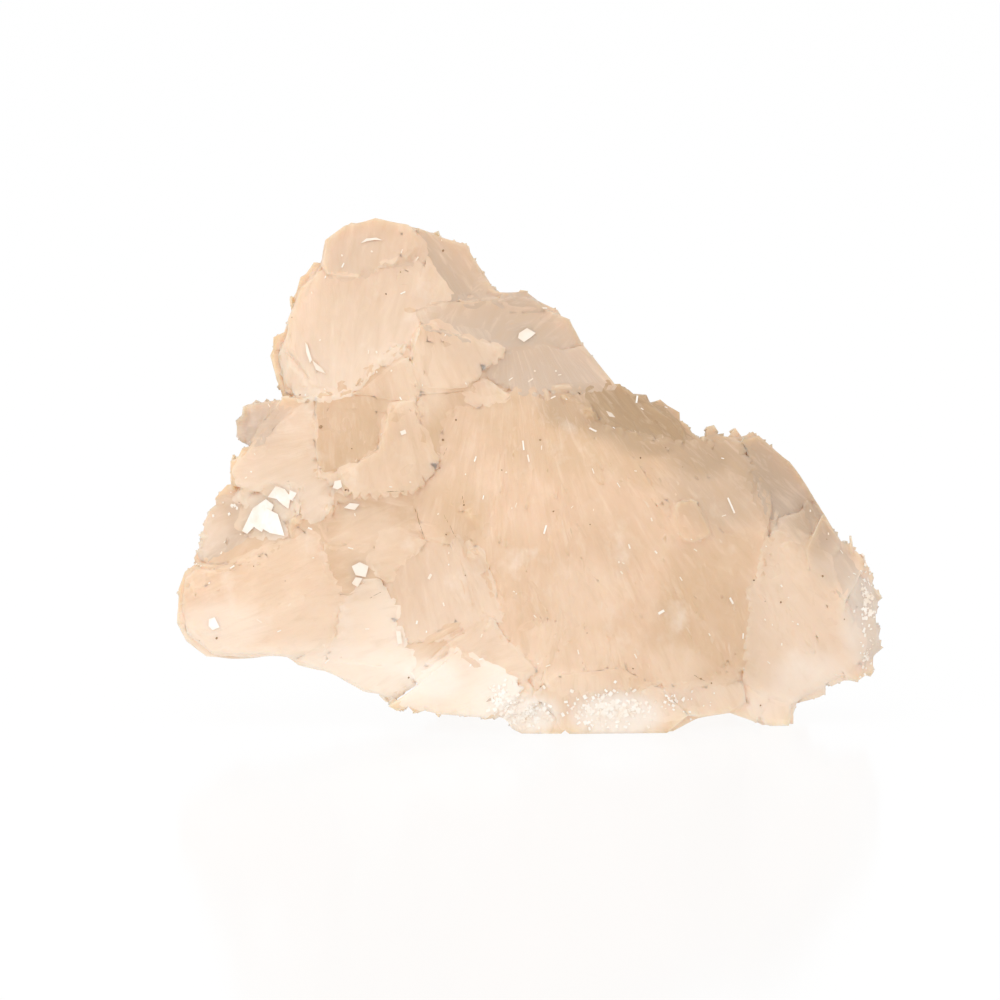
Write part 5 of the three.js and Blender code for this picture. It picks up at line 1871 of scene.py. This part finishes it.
def place_piece(name: str, bm: bmesh.types.BMesh) -> bpy.types.Object:
    """Makes a mesh into a piece that rides with the mass, and frees it.

    Args:
        name: The piece's name.
        bm: The mesh.

    Returns:
        The piece's object.
    """
    bmesh.ops.recalc_face_normals(bm, faces=bm.faces)
    mesh = bpy.data.meshes.new(name)
    bm.to_mesh(mesh)
    bm.free()
    piece = bpy.data.objects.new(name, mesh)
    bpy.context.scene.collection.objects.link(piece)
    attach(piece, "root")
    return piece


class NodeSketch:
    """Adds shader nodes to a material and links them."""

    def __init__(self, name: str) -> None:
        """Starts a material with an empty node tree."""
        self.material = bpy.data.materials.new(name)
        self.material.use_nodes = True
        self.tree = self.material.node_tree
        self.tree.nodes.clear()

    def add(self, kind: str, settings: dict | None = None, inputs: dict | None = None) -> bpy.types.Node:
        """Adds a node.

        Args:
            kind: Its type, without the ShaderNode in front.
            settings: Attributes to set on it.
            inputs: Socket values or output sockets, by socket name or number.

        Returns:
            The node.
        """
        node = self.tree.nodes.new("ShaderNode" + kind)
        for name, value in (settings or {}).items():
            setattr(node, name, value)
        for name, value in (inputs or {}).items():
            if isinstance(value, bpy.types.NodeSocket):
                self.tree.links.new(value, node.inputs[name])
            else:
                node.inputs[name].default_value = value
        return node

    def mix(self, share: object, first: object, second: object, blend: str = "MIX") -> bpy.types.NodeSocket:
        """Mixes two colours by a share and returns the colour."""
        node = self.add("Mix", {"data_type": "RGBA", "blend_type": blend}, {0: share, 6: first, 7: second})
        return node.outputs[2]

    def maths(self, operation: str, first: object, second: object = 0.0, third: object = 0.0) -> bpy.types.NodeSocket:
        """Does a sum on two or three numbers and returns the result."""
        node = self.add("Math", {"operation": operation}, {0: first, 1: second, 2: third})
        return node.outputs[0]

    def spread(self, value: object, low: float, high: float, to_low: float = 0.0, to_high: float = 1.0) -> bpy.types.NodeSocket:
        """Maps a number from one range to another, held at the ends."""
        node = self.add(
            "MapRange", None, {"Value": value, "From Min": low, "From Max": high, "To Min": to_low, "To Max": to_high}
        )
        return node.outputs["Result"]

    def noise(
        self, place: object, scale: float, detail: float = 3.0, roughness: float = 0.55, warp: float = 0.0
    ) -> bpy.types.NodeSocket:
        """Gives a noise value at a place, warped by a share."""
        inputs = {"Vector": place, "Scale": scale, "Detail": detail, "Roughness": roughness, "Distortion": warp}
        return self.add("TexNoise", None, inputs).outputs[0]

    def finish(self, surface: bpy.types.NodeSocket) -> bpy.types.Material:
        """Links the surface to the output and returns the material."""
        self.add("OutputMaterial", None, {"Surface": surface})
        return self.material


@dataclass(frozen=True)
class CalciteFinish:
    """Milky, translucent honey-peach calcite.

    Args:
        peach: The usual colour.
        honey: Its deeper, browner colour.
        grey_and_shade: A cooler, greyer colour, laid on as painted shade where faces turn up and right, away from the
            light.
        pale: The lighter cream colour; on the lower left it is laid on as painted light.
        frost: The white of crushed and sugary places.
        umber_shade: Painted shade: a dark brown laid on the upper right ridge, which faces away from the light.
        roughness: Of a clean face.
        depth: How deep light wanders inside, in mm.
        milkiness: Share of the light that wanders inside.
    """

    peach: tuple[float, float, float, float] = (0.78, 0.55, 0.38, 1.0)
    honey: tuple[float, float, float, float] = (0.63, 0.43, 0.25, 1.0)
    grey_and_shade: tuple[float, float, float, float] = (0.55, 0.42, 0.32, 1.0)
    pale: tuple[float, float, float, float] = (0.9, 0.72, 0.56, 1.0)
    frost: tuple[float, float, float, float] = (0.95, 0.86, 0.77, 1.0)
    umber_shade: tuple[float, float, float, float] = (0.42, 0.28, 0.16, 1.0)
    roughness: float = 0.38
    depth: float = 5.0
    milkiness: float = 0.7

    def material(self) -> bpy.types.Material:
        """Builds the material."""
        sketch = NodeSketch("milky_calcite")
        place = sketch.add("TexCoord").outputs["Object"]
        grain = sketch.add("UVMap", {"uv_map": "grain"}).outputs[0]
        tint = sketch.add("Attribute", {"attribute_name": "tint"}).outputs["Color"]
        tint_parts = sketch.add("SeparateColor", None, {"Color": tint}).outputs
        tones = sketch.add("Attribute", {"attribute_name": "tones"})
        tone_parts = sketch.add("SeparateColor", None, {"Color": tones.outputs["Color"]}).outputs
        colour = self._colour(sketch, place, grain, tint_parts, tone_parts, tones.outputs["Alpha"])
        roughness = self._roughness(sketch, place, tones.outputs["Alpha"])
        bump = self._relief(sketch, place, grain, tones.outputs["Alpha"])
        shader = sketch.add(
            "BsdfPrincipled",
            {"subsurface_method": "RANDOM_WALK"},
            {
                "Base Color": colour,
                "Roughness": roughness,
                "IOR": 1.5,
                "Subsurface Weight": sketch.maths("MULTIPLY_ADD", tones.outputs["Alpha"], -self.milkiness, self.milkiness),
                "Subsurface Radius": (1.0, 0.72, 0.5),
                "Subsurface Scale": self.depth * MM,
                "Normal": bump,
            },
        )
        return sketch.finish(shader.outputs[0])

    def _colour(
        self, sketch: NodeSketch, place: object, grain: object, tint: object, tones: object, frosted: object
    ) -> bpy.types.NodeSocket:
        """Lays the tones, with their painted light and shade, the plates' own tints, the clouds and the growth lines
        over each other.
        """
        clouds = sketch.noise(place, 60.0, 3.0)
        colour = sketch.mix(sketch.spread(clouds, 0.42, 0.66, 0.0, 0.3), self.peach, self.honey)
        milk = sketch.noise(place, 150.0, 5.0, 0.65)
        colour = sketch.mix(sketch.spread(milk, 0.5, 0.72, 0.0, 0.35), colour, self.pale)
        colour = sketch.mix(tones[0], colour, self.honey)
        # Painted shade: a greyer colour on the faces that turn up and right, away from the light.
        colour = sketch.mix(tones[1], colour, self.grey_and_shade)
        # Cream colour, laid on in the lower left zones as painted light.
        colour = sketch.mix(tones[2], colour, self.pale)
        # Painted shade: a dark brown on the upper right ridge.
        colour = sketch.mix(tint[2], colour, self.umber_shade)
        lighter = sketch.spread(tint[0], 0.5, 1.0, 0.0, 0.12)
        darker = sketch.spread(tint[0], 0.5, 0.0, 0.0, 0.12)
        colour = sketch.mix(lighter, colour, self.pale)
        colour = sketch.mix(darker, colour, self.honey)
        stretched = sketch.add("Mapping", None, {"Vector": grain, "Scale": (0.55, 0.12, 1.0)}).outputs[0]
        lines = sketch.noise(stretched, 1.0, 5.0, 0.62, 0.6)
        colour = sketch.mix(sketch.spread(lines, 0.52, 0.72, 0.0, 0.34), colour, self.pale)
        colour = sketch.mix(sketch.spread(lines, 0.48, 0.3, 0.0, 0.3), colour, self.honey)
        veils = sketch.noise(place, 120.0, 4.0, 0.6)
        colour = sketch.mix(sketch.spread(veils, 0.6, 0.8, 0.0, 0.4), colour, self.frost)
        return sketch.mix(frosted, colour, self.frost)

    def _roughness(self, sketch: NodeSketch, place: object, frosted: object) -> bpy.types.NodeSocket:
        """Makes the faces unevenly glossy, and the frosted places dull."""
        patches = sketch.spread(sketch.noise(place, 90.0), 0.3, 0.7, self.roughness - 0.12, self.roughness + 0.15)
        return sketch.maths("ADD", patches, sketch.maths("MULTIPLY", frosted, 0.2))

    def _relief(self, sketch: NodeSketch, place: object, grain: object, frosted: object) -> bpy.types.NodeSocket:
        """Gives the growth lines and the fine sugar a little height."""
        stretched = sketch.add("Mapping", None, {"Vector": grain, "Scale": (2.6, 0.14, 1.0)}).outputs[0]
        lines = sketch.noise(stretched, 1.0, 4.0, 0.6)
        sugar = sketch.noise(place, 900.0, 2.0)
        sugar = sketch.maths("MULTIPLY", sugar, sketch.maths("ADD", sketch.maths("MULTIPLY", frosted, 0.8), 0.12))
        height = sketch.maths("ADD", lines, sugar)
        return sketch.add("Bump", None, {"Strength": 0.3, "Distance": 0.2 * MM, "Height": height}).outputs[0]


@dataclass(frozen=True)
class FrostFinish:
    """White broken calcite, with a soft gloss; on the highlight flakes its white is a painted highlight.

    Args:
        white: Its colour.
        cream: Its warmer colour, in clouds.
        roughness: Of its faces.
    """

    white: tuple[float, float, float, float] = (0.95, 0.9, 0.83, 1.0)
    cream: tuple[float, float, float, float] = (0.9, 0.77, 0.64, 1.0)
    roughness: float = 0.25

    def material(self, name: str) -> bpy.types.Material:
        """Builds the material under a name."""
        sketch = NodeSketch(name)
        place = sketch.add("TexCoord").outputs["Object"]
        clouds = sketch.noise(place, 260.0, 3.0)
        colour = sketch.mix(sketch.spread(clouds, 0.42, 0.66), self.white, self.cream)
        frosting = sketch.noise(place, 1600.0, 2.0)
        bump = sketch.add("Bump", None, {"Strength": 0.2, "Distance": 0.1 * MM, "Height": frosting}).outputs[0]
        roughness = sketch.spread(clouds, 0.3, 0.7, self.roughness, self.roughness + 0.2)
        shader = sketch.add(
            "BsdfPrincipled", None, {"Base Color": colour, "Roughness": roughness, "IOR": 1.5, "Normal": bump}
        )
        return sketch.finish(shader.outputs[0])


@dataclass(frozen=True)
class EarthFinish:
    """Dull brown earth.

    Args:
        brown: Its usual colour.
        light: Its lighter colour, in clouds.
    """

    brown: tuple[float, float, float, float] = (0.2, 0.1, 0.045, 1.0)
    light: tuple[float, float, float, float] = (0.42, 0.26, 0.14, 1.0)

    def material(self) -> bpy.types.Material:
        """Builds the material."""
        sketch = NodeSketch("brown_earth")
        place = sketch.add("TexCoord").outputs["Object"]
        clouds = sketch.noise(place, 300.0, 2.0)
        colour = sketch.mix(sketch.spread(clouds, 0.35, 0.65), self.brown, self.light)
        shader = sketch.add("BsdfPrincipled", None, {"Base Color": colour, "Roughness": 0.8})
        return sketch.finish(shader.outputs[0])


@dataclass(frozen=True)
class FloorFinish:
    """A plain pale floor with a faint gloss.

    Args:
        white: Its colour.
        glow: How much of it is lit evenly, as by a bright room.
        gloss: Share of mirror-like gloss.
    """

    white: tuple[float, float, float, float] = (0.94, 0.94, 0.94, 1.0)
    glow: float = 0.95
    gloss: float = 0.09

    def material(self) -> bpy.types.Material:
        """Builds the material."""
        sketch = NodeSketch("pale_floor")
        matt = sketch.add("BsdfDiffuse", None, {"Color": self.white}).outputs[0]
        lit = sketch.add("Emission", None, {"Color": (1.0, 1.0, 1.0, 1.0), "Strength": 1.0}).outputs[0]
        even = sketch.add("MixShader", None, {0: self.glow, 1: matt, 2: lit}).outputs[0]
        sheen = sketch.add("BsdfGlossy", None, {"Color": (1.0, 1.0, 1.0, 1.0), "Roughness": 0.12}).outputs[0]
        return sketch.finish(sketch.add("MixShader", None, {0: self.gloss, 1: even, 2: sheen}).outputs[0])


@dataclass
class Studio:
    """The camera, the pale floor and the soft lights.

    Args:
        distance: From the camera to the cluster, in metres.
        view_width: Width that the camera sees at the cluster, in metres.
        aim: The board place in the middle of the view, in mm.
        sensor: Width of the camera's sensor, in mm.
    """

    distance: float = 2.4
    view_width: float = 0.2
    aim: tuple[float, float, float] = (-5.4, 44.0, 6.0)
    sensor: float = 36.0

    def build(self) -> None:
        """Builds the camera, the floor and the lights."""
        self._camera()
        self._floor()
        self._world()
        self._softbox("front_left", (-0.9, -1.0, 0.7), 0.8, 3.0)
        self._softbox("overhead", (-0.3, -0.1, 1.4), 0.9, 2.0)
        self._softbox("low_front", (-0.7, -1.2, 0.1), 0.5, 0.8)

    def _camera(self) -> None:
        """Places a long lens square to the display board."""
        data = bpy.data.cameras.new("camera")
        data.sensor_width = self.sensor
        data.lens = self.sensor * self.distance / self.view_width
        data.clip_end = 20.0
        camera = bpy.data.objects.new("camera", data)
        camera.location = on_board(*self.aim) + BOARD_OUT * self.distance
        camera.rotation_euler = (-BOARD_OUT).to_track_quat("-Z", "Y").to_euler()
        bpy.context.scene.collection.objects.link(camera)
        bpy.context.scene.camera = camera

    @staticmethod
    def _floor() -> None:
        """Lays a wide pale floor under the cluster."""
        bm = bmesh.new()
        bmesh.ops.create_grid(bm, x_segments=1, y_segments=1, size=4.0)
        mesh = bpy.data.meshes.new("floor")
        bm.to_mesh(mesh)
        bm.free()
        mesh.materials.append(FloorFinish().material())
        floor = bpy.data.objects.new("floor", mesh)
        bpy.context.scene.collection.objects.link(floor)

    @staticmethod
    def _world() -> None:
        """Surrounds the cluster with even white light."""
        world = bpy.data.worlds.new("white_room")
        world.use_nodes = True
        background = world.node_tree.nodes["Background"]
        background.inputs["Color"].default_value = (1.0, 1.0, 1.0, 1.0)
        background.inputs["Strength"].default_value = 1.0
        bpy.context.scene.world = world
        bpy.context.scene.view_settings.view_transform = "Standard"

    @staticmethod
    def _softbox(name: str, place: tuple[float, float, float], size: float, power: float) -> None:
        """Hangs a square soft light that looks at the cluster.

        Args:
            name: The light's name.
            place: Where it hangs, in metres.
            size: Its side, in metres.
            power: Its power, in watts.
        """
        data = bpy.data.lights.new(name, "AREA")
        data.size = size
        data.energy = power
        light = bpy.data.objects.new(name, data)
        light.location = place
        light.rotation_euler = (Vector((0.0, 0.0, 0.04)) - Vector(place)).to_track_quat("-Z", "Y").to_euler()
        bpy.context.scene.collection.objects.link(light)


def main() -> None:
    """Builds the studio and the cluster, and reports each piece."""
    logging.basicConfig(level=logging.INFO, format="%(name)s: %(message)s")
    Studio().build()
    mass = CalciteMass()
    piece = mass.build()
    mass.dress(piece, CalciteFinish())
    log.info("%s: %d faces", piece.name, len(piece.data.polygons))
    probe = FrontProbe(piece)
    # The white and cream finishes of the painted highlights.
    glint_white = FrostFinish(roughness=0.15)
    glint_cream = FrostFinish((0.92, 0.82, 0.71, 1.0), (0.88, 0.74, 0.6, 1.0), 0.3)
    for parts, finishes in (
        (SugarCrystals(), [FrostFinish()]),
        (HighlightFlakes(), [glint_white, glint_cream]),
        (EarthyGrains(), [EarthFinish()]),
    ):
        piece = parts.build(probe)
        parts.dress(piece, *finishes)
        log.info("%s: %d faces", piece.name, len(piece.data.polygons))


if __name__ == "__main__":
    main()
